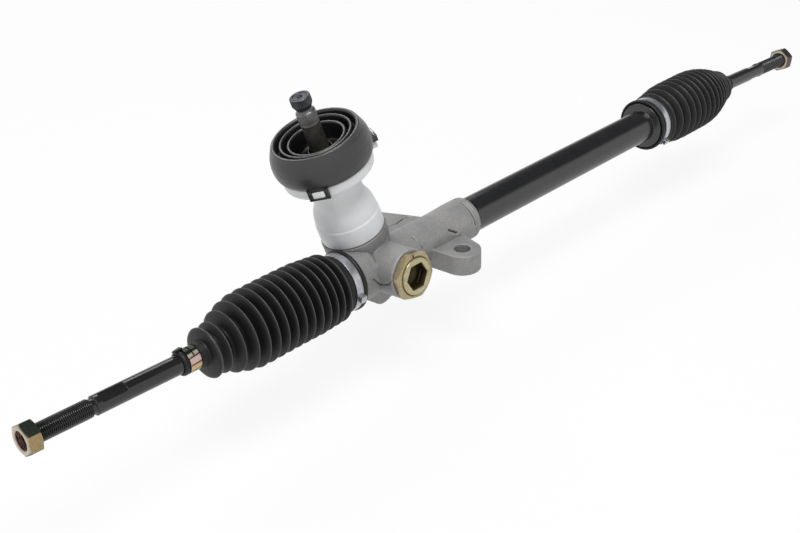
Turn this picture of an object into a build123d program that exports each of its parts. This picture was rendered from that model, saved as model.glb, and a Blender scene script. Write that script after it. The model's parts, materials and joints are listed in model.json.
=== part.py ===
from build123d import *
from math import acos, asin, atan2, cos, degrees, hypot, pi, radians, sin, sqrt, tan
import os

# Rack-and-pinion steering gear, in millimetres. X runs along the rack, Z is up along the
# mounting bolts, and the origin is on the rack axis at the middle of the travel.

# ---- rack bar ----
rack_r = 12.0
rack_half_length = 274.0
rack_travel = 56.0
end_play = 0.4
running_gap = 0.06
fit_gap = 0.05

# ---- helical mesh ----
pinion_teeth = 7
normal_module = 2.0
pressure_deg = 20.0
tooth_lean_deg = -8.5
pinion_tilt_deg = 16.5
group_roll_deg = 6.0
rack_addendum = 0.9
pinion_addendum = 2.4
tooth_clearance = 0.4
backlash = 0.24
pitch_line_height = 7.6
pinion_face = 32.0
pinion_setback = 55.5
yoke_offset = 1.0

# ---- pinion shaft and its bearings, along the pinion axis from the rack's level ----
shaft_r = 8.0
shank_r = 7.7
spline_r = 8.3
shaft_top = 160.5
spline_length = 9.5
spline_taper = 3.5
pinch_groove_r = 6.5
pinch_groove_length = 3.0
lower_spline_r = 7.9
lower_spline_length = 12.0
journal_r = 6.0
needle_r = 1.25
needle_count = 14
needle_length = 10.0
needle_shell_wall = 1.0
needle_start = -31.0
bearing_start = 26.0
bearing_width = 11.0
bearing_r = 19.0
bearing_race = 3.0
ball_count = 8
ring_thickness = 1.6
ring_depth = 1.4
shaft_seal_width = 6.0

# ---- cast housing ----
barrel_r = 18.0
boot_seat_r = 22.6
stop_recess_left = 4.4
stop_recess_right = 14.4
end_boss_width = 36.0
end_wall = 3.0
socket_r = 19.0
socket_length = 16.0
socket_taper = 22.0
socket_reach = 108.5
socket_collar = 6.0
socket_groove = 1.0
tower_r = 25.0
tower_collar_r = 27.4
tower_collar = 5.5
tower_shoulder = 23.0
tower_neck_r = 23.6
tower_top = 49.0
tower_foot = 31.0
tower_foot_shift = 3.5
tower_bottom = -37.0
tower_floor = 4.5
yoke_boss_r = 20.8
yoke_boss_end = 37.5
lug_thickness = 18.0
lug_top = 0.0
lug_r = 16.0
lug_hole_r = 7.0
front_lug_reach, front_lug_out = 64.8, 35.2
rear_lug_reach, rear_lug_out = 56.0, 54.5
front_root_from, front_root_to = 45.5, 86.5
rear_root_from, rear_root_to = 16.5, 96.5

# ---- steel tube ----
tube_r = 15.7
tube_wall = 2.6
tube_seat_depth = 24.0
tube_bell_length = 21.0
bush_length = 22.0

# ---- yoke ----
yoke_r = 14.0
yoke_length = 23.0
liner = 1.0
yoke_groove = 1.9
spring_wire = 2.6
spring_r = 8.2
spring_turns = 3.0
plug_r = 15.6
plug_length = 11.5
plug_face = 46.0
plug_socket_flats = 20.5
plug_socket_depth = 7.5
lock_nut_flats = 36.5
lock_nut_height = 7.0
lock_nut_turn_deg = 48.0
stake_turn_deg = 94.0
stake_width = 1.6
hex_bevel_deg = 30.0

# ---- cover and dash seal, along the pinion axis ----
cover_r = 26.9
cover_wall = 2.4
cover_shoulder = 56.0
cover_waist_r = 20.8
cover_waist = 68.0
cover_flange_inset = 3.8
cover_top = 98.5
cover_flange_height = 9.5
cover_flange_thickness = 2.6
hook_width = 9.5
hook_height = 5.3
hook_reach = 3.0
seal_r = 41.2
seal_rim_inset = 5.2
seal_top = 126.5
seal_wall = 3.0
seal_lip_inset = 11.7
seal_inner_inset = 17.4
seal_neck_r = 9.0
loop_width = 17.0
loop_height = 10.5
loop_thickness = 2.2
loop_count = 3
loop_turn_deg = 214.5
tall_hook = 9.5
tall_hook_thickness = 1.2
strap_height = 5.5
strap_thickness = 1.2

# ---- ball joints and tie rods ----
ball_lead = 30.0
ball_r = 14.0
seat_wall = 1.2
socket_wall = 3.2
swing_deg = 18.0
mouth_margin_deg = 3.5
socket_flats = 32.0
rack_thread_r = 7.0
rack_thread_length = 12.0
washer_thickness = 2.0
washer_r = 16.6
rod_length = 191.7
rod_neck_r = 6.4
rod_r = 7.4
thread_r = 7.0
thread_length = 48.2
flats_width = 12.4
flats_length = 29.5
flats_turn_deg = 67.0
nut_flats = 22.0
nut_height = 11.5
nut_overhang = 4.3
rest_lift_left_deg = 1.7
rest_drop_right_deg = 2.5
stop_thickness = 4.0

# ---- boots ----
boot_wall = 1.3
boot_seat_depth = 19.0
boot_lip = 4.0
boot_lip_proud = 0.9
boot_cuff_length = 21.0
boot_crest_r = 30.7
boot_fold_depth = 6.6
boot_folds = 14
boot_gather_left = 0.13
boot_gather_right = -0.26
boot_swell_left = 1.7
boot_swell_right = 3.8
boot_swell_length = 24.0
boot_small_r = 17.0
boot_fade_left = 42.0
boot_fade_right = 52.0
boot_last_gap = 11.3
boot_disc_left_r = 20.2
boot_disc_right_r = 17.6
boot_neck_lead_left = 45.0
boot_neck_lead_right = 54.0
boot_nose_length_left = 22.0
boot_nose_length_right = 16.5
boot_nose_r = 8.5
clamp_width = 7.0
clamp_thickness = 0.9
clamp_offset_left = 4.3
clamp_offset_right = 7.0
clip_setback_left = 7.6
clip_setback_right = 2.0
clip_width = 9.8
clip_thickness = 1.0
clip_tang_length = 8.0
clip_turn_left_deg = 115.0
clip_turn_right_deg = -95.0

# ---- derived sizes ----
roll = radians(group_roll_deg)
tilt = radians(pinion_tilt_deg)
lean = radians(tooth_lean_deg)
helix = lean - tilt
pitch_r = pinion_teeth * normal_module / 2 / cos(helix)
centre_distance = pitch_line_height + pitch_r
pinion_tip_r = pitch_r + pinion_addendum
pinion_root_r = pitch_r - rack_addendum - tooth_clearance
pinion_bore_r = pinion_tip_r + 0.6
rack_bore_r = rack_r + 1.6
tube_bore_r = tube_r - tube_wall
needle_shell_r = journal_r + 2 * needle_r + needle_shell_wall + 2 * running_gap
ball_joint_r = ball_r + seat_wall + 2 * running_gap
socket_outer_r = ball_joint_r + socket_wall
seat_out = 4.2
seal_bottom = cover_top + 0.3
cover_bottom = tower_shoulder + 0.1
seal_rim_r = seal_r - seal_rim_inset
seal_lip_r = seal_r - seal_lip_inset
seal_inner_r = seal_r - seal_inner_inset
cover_flange_r = seal_r - cover_flange_inset
stop_face = rack_half_length - rack_travel - end_play
stop_seat = stop_face - stop_thickness - 0.1
housing_end = stop_face + stop_recess_left
tube_end = stop_face + stop_recess_right
tube_bell_start = tube_end - tube_bell_length
ball_centre = rack_half_length + ball_lead
nut_end = rod_length + nut_overhang
pinion_x = pinion_setback - housing_end
yoke_x = pinion_x - yoke_offset
socket_x = pinion_x + socket_reach
front_lug = (pinion_x + front_lug_reach, -front_lug_out)
rear_lug = (pinion_x + rear_lug_reach, rear_lug_out)
front_root = (pinion_x + front_root_from, pinion_x + front_root_to)
rear_root = (pinion_x + rear_root_from, pinion_x + rear_root_to)

out_dir = (0, -cos(roll), sin(roll))
in_dir = (0, cos(roll), -sin(roll))
pinion_dir = (-sin(tilt), cos(tilt) * sin(roll), cos(tilt) * cos(roll))
pinion_side = (cos(tilt), sin(tilt) * sin(roll), sin(tilt) * cos(roll))
pinion_origin = (pinion_x, in_dir[1] * centre_distance, in_dir[2] * centre_distance)
PINION = Plane(origin=pinion_origin, x_dir=pinion_side, z_dir=pinion_dir)
YOKE = Plane(origin=(yoke_x, 0, 0), x_dir=(1, 0, 0), z_dir=out_dir)
ALONG = Plane(origin=(0, 0, 0), x_dir=(0, 1, 0), z_dir=(1, 0, 0))


ON_BASE = (Align.CENTER, Align.CENTER, Align.MIN)
AT_EDGE = (Align.MIN, Align.CENTER, Align.MIN)
OUTWARD = (Align.MIN, Align.CENTER, Align.CENTER)


def rod(plane, radius, start, end):
    """Cylinder on a plane's axis between two heights."""
    return plane * Pos(0, 0, start) * Cylinder(radius, end - start, align=ON_BASE)


def ring(plane, outer, inner, start, end):
    return rod(plane, outer, start, end) - rod(plane, inner, start - 1, end + 1)


def turned(plane, profile):
    """Solid of revolution from (radius, height) corners."""
    points = [(r, h) for r, h in profile]
    face = make_face(Polyline(*points, close=True))
    return plane * revolve(Plane.XZ * face, Axis.Z)


def hexagon(plane, flats, start, end, turn=0.0):
    """Hex prism with both ends turned to the usual bevel."""
    radius = flats / sqrt(3)
    prism = Pos(0, 0, start) * Rot(0, 0, turn) * extrude(RegularPolygon(radius, 6), end - start)
    drop = (radius - flats / 2 * 0.97) * tan(radians(hex_bevel_deg))
    top = flats / 2 * 0.97
    bevel = turned(Plane.XY, [(0, start), (top, start), (radius + 0.01, start + drop),
                              (radius + 0.01, end - drop), (top, end), (0, end)])
    return plane * (prism & bevel)


def biggest(shape):
    return max(shape.solids(), key=lambda s: s.volume)


# ---- mesh ----
def involute(r):
    base = pitch_r * cos(transverse_pressure())
    a = acos(min(1.0, base / r))
    return tan(a) - a


def transverse_pressure():
    return atan2(tan(radians(pressure_deg)), cos(helix))


def rack_space_half(height):
    """Half width of a rack tooth space, square to the teeth, at a height over the pitch line."""
    pitch = pi * normal_module
    thick = pitch / 2 - 2 * (pinion_addendum - rack_addendum) / 2 * tan(radians(pressure_deg))
    return (pitch - thick) / 2 + height * tan(radians(pressure_deg))


def pinion_half_angle(r):
    """Half angle of a pinion tooth at radius r, thinned by the backlash."""
    wide = 2 * rack_space_half(0) / cos(helix) - backlash
    return wide / 2 / pitch_r + involute(pitch_r) - involute(r)


def pinion_section():
    base = pitch_r * cos(transverse_pressure())
    start = max(base, pinion_root_r) + 0.02
    radii = [start + (pinion_tip_r - start) * k / 4 for k in range(5)]
    edges = []
    for tooth in range(pinion_teeth):
        mid = -pi / 2 + 2 * pi * tooth / pinion_teeth
        nxt = mid + 2 * pi / pinion_teeth

        def at(r, angle):
            return (r * cos(angle), r * sin(angle))

        rising = [at(r, mid - pinion_half_angle(r)) for r in radii]
        falling = [at(r, mid + pinion_half_angle(r)) for r in reversed(radii)]
        foot = pinion_half_angle(start)
        a, b = mid + foot, nxt - foot
        edges += [Spline(*rising), ThreePointArc(rising[-1], at(pinion_tip_r, mid), falling[0]),
                  Spline(*falling), Line(falling[-1], at(pinion_root_r, a)),
                  ThreePointArc(at(pinion_root_r, a), at(pinion_root_r, (a + b) / 2),
                                at(pinion_root_r, b)),
                  Line(at(pinion_root_r, b), at(start, b))]
    return make_face(Wire(edges))


def helical_pinion():
    """Teeth swept along the helix, centred on the rack's level."""
    twist = -tan(helix) / pitch_r * pinion_face
    section = Pos(0, 0, -pinion_face / 2) * Rot(0, 0, -degrees(twist) / 2) * pinion_section()
    gear = Solid.extrude_linear_with_rotation(
        section.face(), (0, 0, -pinion_face / 2), (0, 0, pinion_face), degrees(twist))
    return gear


def rack_teeth_cut():
    """Material taken off the bar: the flat over the tips and one prism for each tooth space."""
    reach = rack_travel + pinion_tip_r + 6
    count = int(reach / (pi * normal_module))
    root = -pinion_addendum - tooth_clearance
    top = rack_addendum + 0.5
    along = (-sin(lean), cos(lean) * sin(roll), cos(lean) * cos(roll))
    across = (cos(lean), sin(lean) * sin(roll), sin(lean) * cos(roll))
    origin = (pinion_x, in_dir[1] * pitch_line_height, in_dir[2] * pitch_line_height)
    plane = Plane(origin=origin, x_dir=across, z_dir=along)
    low, high = rack_space_half(root), rack_space_half(top)
    space = make_face(Polyline((-low, root), (low, root), (high, top), (-high, top), close=True))
    half_length = rack_r * 1.4 + reach * tan(abs(lean))
    prism = Pos(0, 0, -half_length) * extrude(space, 2 * half_length)
    cuts = [plane * (Pos(k * pi * normal_module, 0, 0) * prism) for k in range(-count, count + 1)]
    flat_plane = Plane(origin=origin, x_dir=(1, 0, 0), z_dir=in_dir)
    half = (count + 0.75) * pi * normal_module / cos(lean)
    flat = Pos(0, 0, rack_addendum) * Box(2 * half, 4 * rack_r, rack_r,
                                          align=ON_BASE)
    return [flat_plane * flat] + cuts


def rack_bar():
    bar = rod(ALONG, rack_r, -rack_half_length, rack_half_length)
    for side in (-1, 1):
        end = turned(side_plane(side), [(0, rack_half_length - 1), (rack_thread_r, rack_half_length - 1),
                                        (rack_thread_r, rack_half_length + rack_thread_length),
                                        (0, rack_half_length + rack_thread_length)])
        bar += end
    return bar - rack_teeth_cut()


# ---- planes on each side; heights are distances from the middle ----
def side_plane(side):
    return Plane(origin=(0, 0, 0), x_dir=(0, side, 0), z_dir=(side, 0, 0))


def rod_plane(side):
    """Plane at the ball's centre along the tie rod, as the rod lies at rest."""
    a = radians(rest_drop_right_deg if side > 0 else rest_lift_left_deg)
    return Plane(origin=(side * ball_centre, 0, 0), x_dir=(0, side, 0),
                 z_dir=(side * cos(a), 0, -side * sin(a)))


# ---- pinion group ----
def pinion_shaft():
    half = pinion_face / 2
    head = shaft_top - spline_length
    groove = head - pinch_groove_length
    lower = groove - lower_spline_length
    shaft = turned(Plane.XY, [
        (0, needle_start - 1.5), (journal_r - 0.8, needle_start - 1.5), (journal_r, needle_start - 0.7),
        (journal_r, -half - 2), (pinion_root_r, -half - 0.5), (pinion_root_r, half + 0.5),
        (shaft_r + 2, half + 2.5), (shaft_r + 2, bearing_start), (shaft_r, bearing_start),
        (shaft_r, cover_shoulder + 12), (shank_r, cover_shoulder + 13), (shank_r, lower - 1.2),
        (lower_spline_r, lower), (lower_spline_r, groove - 1), (pinch_groove_r, groove),
        (pinch_groove_r, head), (spline_r, head + spline_taper), (spline_r, shaft_top - 0.8),
        (spline_r - 0.8, shaft_top), (2.2, shaft_top), (0, shaft_top - 2.2)])
    return PINION * (shaft + helical_pinion())


def needle_shell():
    inner = needle_shell_r - needle_shell_wall
    start, end = needle_start - 1, needle_start + needle_length + 1
    return turned(PINION, [
        (inner, start + 0.9), (journal_r + 0.8, start + 0.9), (journal_r + 0.8, start),
        (needle_shell_r, start), (needle_shell_r, end), (journal_r + 0.8, end),
        (journal_r + 0.8, end - 0.9), (inner, end - 0.9)])


def needle_rollers():
    track = journal_r + needle_r + running_gap
    one = Pos(track, 0, needle_start) * Cylinder(needle_r, needle_length,
                                                 align=ON_BASE)
    turn = 360 / needle_count
    return Compound(children=[PINION * (Rot(0, 0, k * turn) * one) for k in range(needle_count)])


def bearing_mid():
    return (bearing_r + shaft_r) / 2, bearing_start + bearing_width / 2


def bearing_ball_r():
    return (bearing_r - shaft_r) / 2 - bearing_race + 1.2


def bearing_race_ring(outer_side):
    """One race of the upper bearing, with its groove for the balls."""
    track, level = bearing_mid()
    if outer_side:
        outer, inner = bearing_r, bearing_r - bearing_race
    else:
        outer, inner = shaft_r + bearing_race, shaft_r + fit_gap
    blank = ring(Plane.XY, outer, inner, bearing_start, bearing_start + bearing_width)
    groove = Pos(0, 0, level) * Torus(track, bearing_ball_r() + running_gap)
    return PINION * (blank - groove)


def bearing_balls():
    track, level = bearing_mid()
    one = Pos(track, 0, level) * Sphere(bearing_ball_r())
    balls = [PINION * (Rot(0, 0, k * 360 / ball_count) * one) for k in range(ball_count)]
    return Compound(children=balls)


def retaining_ring():
    start = bearing_start + bearing_width + 0.1
    blank = ring(Plane.XY, bearing_r + ring_depth - 0.1, bearing_r - 2.6, start, start + ring_thickness)
    gap = Pos(bearing_r, 0, start) * Box(12, 7, 6)
    ears = [Pos(bearing_r - 3.6, side * 5.2, start + ring_thickness / 2) * Cylinder(2.3, ring_thickness)
            for side in (-1, 1)]
    holes = [Pos(bearing_r - 3.6, side * 5.2, start) * Cylinder(0.9, 6) for side in (-1, 1)]
    return PINION * (blank - gap + ears - holes)


def shaft_seal():
    """Lip seal over the upper bearing, pressed into the tower."""
    start = bearing_start + bearing_width + ring_thickness + 0.6
    end = start + shaft_seal_width
    lip = shaft_r + running_gap
    return turned(PINION, [
        (lip + 0.9, start), (bearing_r - 2, start), (bearing_r - fit_gap, start + 0.6),
        (bearing_r - fit_gap, end), (lip + 0.7, end), (lip, end - 0.8), (lip, end - 1.6),
        (lip + 1.8, end - 2.4), (lip + 1.8, start + 2.2)])


# ---- housing ----
def lug(centre, root, side):
    """Mounting ear: a thick tongue from the barrel out to a round end."""
    x, y = centre
    x0, x1 = root
    edge = side * barrel_r * 0.45
    outline = Sketch() + Pos(x, y) * Circle(lug_r)
    gap_l, gap_r = hypot(x0 - x, edge - y), hypot(x1 - x, edge - y)
    left = tangent_point((x, y), (x0, edge), lug_r, -side, gap_l)
    right = tangent_point((x, y), (x1, edge), lug_r, side, gap_r)
    outline += make_face(Polyline((x0, edge), left, (x, y), right, (x1, edge), close=True))
    return Pos(0, 0, lug_top - lug_thickness) * extrude(outline, lug_thickness)


def tangent_point(centre, point, radius, side, gap):
    """Where the tangent from a point touches a circle."""
    base = atan2(point[1] - centre[1], point[0] - centre[0])
    swing = acos(min(0.999, radius / gap)) * side
    return (centre[0] + radius * cos(base + swing), centre[1] + radius * sin(base + swing))


def housing_body():
    boss, socket = end_boss_width - housing_end, socket_x - socket_length
    collar = socket_x - socket_collar
    body = turned(ALONG, [
        (0, -housing_end), (boot_seat_r, -housing_end), (boot_seat_r, boss), (barrel_r, boss + 6),
        (barrel_r, socket - socket_taper), (socket_r, socket), (socket_r, collar),
        (socket_r - socket_groove, collar + 0.4), (socket_r - socket_groove, collar + 1.4),
        (socket_r, collar + 1.8), (socket_r, socket_x - 0.6), (socket_r - 0.6, socket_x), (0, socket_x)])
    body += turned(PINION, [
        (0, -14), (tower_r, -14), (tower_r, tower_shoulder - tower_collar - 2),
        (tower_collar_r, tower_shoulder - tower_collar), (tower_collar_r, tower_shoulder),
        (tower_neck_r, tower_shoulder), (tower_neck_r, tower_top), (0, tower_top)])
    foot = Box(tower_foot, tower_foot, -tower_bottom + 8, align=ON_BASE)
    body += PINION * (Pos(tower_foot_shift, 0, tower_bottom) * fillet(foot.edges().filter_by(Axis.Z), 5))
    body += rod(YOKE, yoke_boss_r, -6, yoke_boss_end)
    body += lug(front_lug, front_root, -1) + lug(rear_lug, rear_root, 1)
    return body


def pinion_housing():
    body = housing_body()
    body -= rod(ALONG, rack_bore_r, -housing_end - 1, socket_x + 1)
    body -= rod(ALONG, boot_seat_r - end_wall, -housing_end - 1, -stop_seat)
    body -= rod(ALONG, tube_r + fit_gap, socket_x - tube_seat_depth, socket_x + 1)
    body -= rod(PINION, pinion_bore_r, -pinion_face / 2 - 2.5, tower_top + 1)
    body -= rod(PINION, needle_shell_r + fit_gap, tower_bottom + tower_floor, 0)
    body -= rod(PINION, bearing_r + fit_gap, bearing_start, tower_top + 1)
    groove = bearing_start + bearing_width + 0.05
    body -= rod(PINION, bearing_r + ring_depth, groove, groove + ring_thickness + 0.1)
    body -= rod(YOKE, yoke_r + fit_gap, 0, yoke_boss_end + 1)
    body -= rod(YOKE, plug_r + fit_gap, plug_face - plug_length - 0.5, yoke_boss_end + 1)
    body -= ring(PINION, tower_collar_r + 0.5, tower_neck_r, tower_shoulder, tower_top)
    for x, y in (front_lug, rear_lug):
        body -= Pos(x, y, lug_top - lug_thickness / 2) * Cylinder(lug_hole_r, lug_thickness + 20)
    return biggest(body)


def rack_tube():
    """Steel tube pressed into the casting, belled at the far end to carry the boot."""
    start = socket_x - tube_seat_depth + 0.2
    step = tube_bell_start
    bore = boot_seat_r - end_wall
    return turned(ALONG, [
        (tube_bore_r, start), (tube_r, start), (tube_r, step), (boot_seat_r, step + 0.6),
        (boot_seat_r, tube_end), (bore, tube_end), (bore, stop_seat), (tube_bore_r, stop_seat)])


def rack_bush():
    end = stop_seat - 8
    outer, inner = tube_bore_r - fit_gap, rack_r + running_gap
    start = end - bush_length
    return turned(ALONG, [(inner, start), (outer, start), (outer, end), (inner, end)])


# ---- yoke ----
def support_yoke():
    start = 2.0
    body = rod(Plane.XY, yoke_r, start, start + yoke_length)
    body -= Rot(0, 90, 0) * Cylinder(rack_r + running_gap + liner, 4 * yoke_r)
    end = start + yoke_length
    body -= Pos(0, 0, end - 9) * Cylinder(spring_r + spring_wire / 2 + 0.4, 9.01, align=ON_BASE)
    body -= ring(Plane.XY, yoke_r + 1, yoke_r - yoke_groove, end - 5.2, end - 2.6)
    return YOKE * biggest(body)


def yoke_liner():
    blank = Rot(0, 90, 0) * (Cylinder(rack_r + running_gap + liner - 0.02, 2 * yoke_r)
                             - Cylinder(rack_r + running_gap, 4 * yoke_r))
    return YOKE * biggest(blank & rod(Plane.XY, yoke_r - 1, 6.5, 30))


def yoke_o_ring():
    minor = (yoke_groove + fit_gap) / 2 - 0.02
    return YOKE * (Pos(0, 0, 2.0 + yoke_length - 3.9) * Torus(yoke_r + fit_gap - 0.02 - minor, minor))


def spring_seat():
    """Both ends of the coil: the yoke's pocket floor and the plug's inner pocket."""
    return 2.0 + yoke_length - 9, plug_face - plug_length + 2.0


def yoke_spring():
    low, high = spring_seat()
    height = high - low - spring_wire - 0.2
    path = Helix(pitch=height / spring_turns, height=height, radius=spring_r)
    section = Plane(origin=path @ 0, z_dir=path % 0) * Circle(spring_wire / 2)
    return YOKE * (Pos(0, 0, low + spring_wire / 2 + 0.1) * sweep(section, path=path, is_frenet=True))


def yoke_plug():
    start = plug_face - plug_length
    body = turned(Plane.XY, [
        (0, start), (plug_r - 1, start), (plug_r, start + 1), (plug_r, plug_face - 0.8),
        (plug_r - 0.8, plug_face), (0, plug_face)])
    body -= Pos(0, 0, start - 1) * Cylinder(spring_r + spring_wire / 2 + 0.5, 3.0, align=ON_BASE)
    hex_cut = extrude(RegularPolygon(plug_socket_flats / sqrt(3), 6), plug_socket_depth + 1)
    body -= Pos(0, 0, plug_face - plug_socket_depth) * hex_cut
    return YOKE * body


def yoke_lock_nut():
    start = yoke_boss_end + 0.05
    end = start + lock_nut_height
    nut = hexagon(Plane.XY, lock_nut_flats, start, end, lock_nut_turn_deg)
    nut -= rod(Plane.XY, plug_r + fit_gap, start - 1, end + 1)
    stake = Box(lock_nut_flats, stake_width, 2.4, align=(Align.MIN, Align.CENTER, Align.CENTER))
    return YOKE * (nut - Pos(0, 0, end) * Rot(0, 0, stake_turn_deg) * stake)


# ---- cover and dash seal ----
def pinion_cover():
    """Moulded cover: skirt over the tower, waist, and the flange that carries the dash seal."""
    w = cover_wall
    top = cover_top
    flange = top - cover_flange_height
    outer = [(cover_r, cover_bottom), (cover_r, cover_shoulder - 3), (cover_r - 1.2, cover_shoulder + 2),
             (cover_waist_r + 1.4, cover_waist - 3), (cover_waist_r, cover_waist),
             (cover_waist_r + 0.5, flange - 4), (cover_flange_r - 2, flange),
             (cover_flange_r, flange + 2.5), (cover_flange_r, top)]
    inner = [(seal_neck_r + 3, top), (seal_neck_r + 3, top - cover_flange_thickness),
             (cover_waist_r - w, top - cover_flange_thickness), (cover_waist_r - w, cover_waist),
             (tower_neck_r + fit_gap, tower_top + 0.5), (tower_neck_r + fit_gap, cover_bottom)]
    body = turned(Plane.XY, outer + inner)
    for k in range(loop_count):
        hook = tall_cover_hook() if k == 1 else cover_hook()
        body += Rot(0, 0, loop_angle(k)) * Pos(cover_flange_r - 3, 0, top - hook_height) * hook
    return PINION * body


def cover_hook():
    """Hook on the flange that a loop of the seal drops over."""
    return Box(3 + hook_reach, hook_width, hook_height, align=AT_EDGE)


def tall_cover_hook():
    """Hook that climbs past the seal's foot, inside the seal's strap."""
    past = seal_r + fit_gap + 0.3 - cover_flange_r
    tall = hook_height + tall_hook
    hook = Box(3 + past + tall_hook_thickness, hook_width, tall, align=AT_EDGE)
    return hook - Pos(-1, 0, hook_height) * Box(4 + past, hook_width + 1, tall, align=AT_EDGE)


def loop_angle(k):
    return loop_turn_deg + k * 360 / loop_count


def dash_seal():
    """Soft cup that closes the hole in the bulkhead, with two upright lips and a loop at each hook."""
    low, top, w = seal_bottom, seal_top, seal_wall
    body = turned(Plane.XY, [
        (seal_neck_r, low), (seal_r - 3.2, low), (seal_r - 0.6, low + 5), (seal_r, low + 9),
        (seal_r - 0.6, low + 15), (seal_rim_r + 1, top - 3), (seal_rim_r, top),
        (seal_rim_r - w, top), (seal_rim_r - w - 1, top - 7),
        (seal_lip_r + 1, top - 8), (seal_lip_r, top - 1.5),
        (seal_lip_r - 2, top - 1.5), (seal_lip_r - 2.4, top - 12),
        (seal_inner_r + 1, top - 12), (seal_inner_r, top - 3.5), (seal_inner_r - 2, top - 3.5),
        (seal_inner_r - 2.6, low + 4), (seal_neck_r, low + 4)])
    for k in range(loop_count):
        body += Rot(0, 0, loop_angle(k)) * (seal_strap() if k == 1 else seal_loop())
    return PINION * body


def seal_loop():
    """Square loop that hangs from the seal's foot round a hook."""
    frame = Pos(cover_flange_r + 0.4, 0, seal_bottom + 2.5 - loop_height) * Box(
        loop_thickness, loop_width, loop_height, align=AT_EDGE)
    window = Box(loop_thickness + 2, hook_width + 0.6, hook_height + 0.6, align=AT_EDGE)
    return frame - Pos(cover_flange_r - 0.6, 0, cover_top - hook_height - 0.3) * window


def seal_strap():
    """Strap on the seal's side that the tall hook stands in."""
    deep = tall_hook_thickness + 0.3 + 2 * fit_gap + 0.3
    wide = hook_width + 0.8
    blank = Box(1.5 + deep + strap_thickness, wide + 2 * loop_thickness, strap_height, align=AT_EDGE)
    window = Box(deep, wide, strap_height + 2, align=AT_EDGE)
    level = seal_bottom + 1
    return Pos(seal_r - 1.5, 0, level) * blank - Pos(seal_r, 0, level - 1) * window


# ---- ball joints and tie rods ----
def mouth_angle():
    """Polar angle of the socket's mouth that lets the neck swing in both directions at once."""
    both = degrees(acos(cos(radians(swing_deg)) ** 2)) + max(rest_lift_left_deg, rest_drop_right_deg)
    return both + degrees(asin(rod_neck_r / ball_r)) + mouth_margin_deg


def ball_socket(side):
    """Steel socket screwed to the rack's end, closed over the ball."""
    plane = side_plane(side)
    back = rack_half_length + washer_thickness + 0.1
    mouth = radians(mouth_angle())
    front = ball_centre + ball_joint_r * cos(mouth)
    blank = turned(plane, [
        (0, back), (socket_outer_r - 1, back), (socket_outer_r, back + 1), (socket_outer_r, ball_centre),
        (socket_outer_r - 1.5, front - 1), (ball_joint_r * sin(mouth) + 1.2, front), (0, front)])
    blank -= plane * (Pos(0, 0, ball_centre) * Sphere(ball_joint_r))
    blank -= rod(plane, ball_joint_r * sin(mouth), ball_centre, front + 5)
    thread_end = back + rack_thread_length - washer_thickness + 0.9
    blank -= rod(plane, rack_thread_r + fit_gap, back - 1, thread_end)
    flat = Box(60, 60, 9, align=ON_BASE)
    for turn in (0, 180):
        blank -= plane * (Rot(0, 0, turn) * Pos(socket_flats / 2 + 30, 0, back - 0.5) * flat)
    return biggest(blank)


def lock_washer(side):
    """Washer between the rack's shoulder and the socket, that also meets the stop ring."""
    start = rack_half_length + 0.05
    return ring(side_plane(side), washer_r, rack_thread_r + fit_gap, start, start + washer_thickness)


def ball_seat(side):
    """Thin bowl behind the ball that slides in the socket."""
    plane = side_plane(side)
    outer, inner = ball_r + seat_wall + running_gap, ball_r + running_gap
    bowl = Pos(0, 0, ball_centre) * (Sphere(outer) - Sphere(inner))
    block = Box(60, 60, 60, align=(Align.CENTER, Align.CENTER, Align.MAX))
    return plane * biggest(bowl & Pos(0, 0, ball_centre + seat_out) * block)


def tie_rod(side):
    """Ball, neck, shank with two wrench flats, and the threaded end."""
    end = rod_length
    thread = end - thread_length
    flats = thread - flats_length
    body = turned(Plane.XY, [
        (0, 0), (rod_neck_r, 0), (rod_neck_r, ball_r + 10), (rod_r, ball_r + 20), (rod_r, thread - 1),
        (thread_r - 1.3, thread), (thread_r - 1.3, thread + 2), (thread_r, thread + 3.3),
        (thread_r, end - 1.5), (thread_r - 1.5, end), (0, end)])
    body += Sphere(ball_r)
    for turn in (0, 180):
        cut = Pos(flats_width / 2, 0, flats + 1) * Box(10, 30, flats_length - 2, align=AT_EDGE)
        body -= Rot(0, 0, flats_turn_deg + turn) * cut
    return rod_plane(side) * body


def jam_nut(side):
    nut = hexagon(Plane.XY, nut_flats, nut_end - nut_height, nut_end, 12)
    mouth = Cone(thread_r, thread_r + 2.4, 2.4, align=ON_BASE)
    nut -= Cylinder(thread_r + running_gap, 3 * nut_end) + Pos(0, 0, nut_end - 1.2) * mouth
    return rod_plane(side) * nut


def stop_ring(side):
    """Cushion at the housing's end that the socket washer meets at full lock."""
    outer = boot_seat_r - end_wall - fit_gap
    return ring(side_plane(side), outer, rack_bore_r, stop_face - stop_thickness, stop_face)


# ---- boots ----
def boot_start(side):
    return (tube_end if side > 0 else housing_end) - boot_seat_depth


def neck_start(side):
    return ball_centre + (boot_neck_lead_right if side > 0 else boot_neck_lead_left)


def fold_crests(side):
    """Place and radius of each fold's crest, from the large end to the small one."""
    gather = boot_gather_right if side > 0 else boot_gather_left
    swell = boot_swell_right if side > 0 else boot_swell_left
    fade = boot_fade_right if side > 0 else boot_fade_left
    first = boot_start(side) + boot_cuff_length
    last = neck_start(side) - boot_last_gap
    crests = []
    for k in range(boot_folds):
        u = k / (boot_folds - 1)
        at = first + (last - first) * ((1 - gather) * u + gather * u * u)
        full = boot_crest_r - boot_small_r
        r = boot_small_r + full * sin(pi / 2 * min(1.0, (last + 7 - at) / fade))
        crests.append((at, r - swell * max(0.0, 1 - (at - first) / boot_swell_length)))
    return crests


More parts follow.
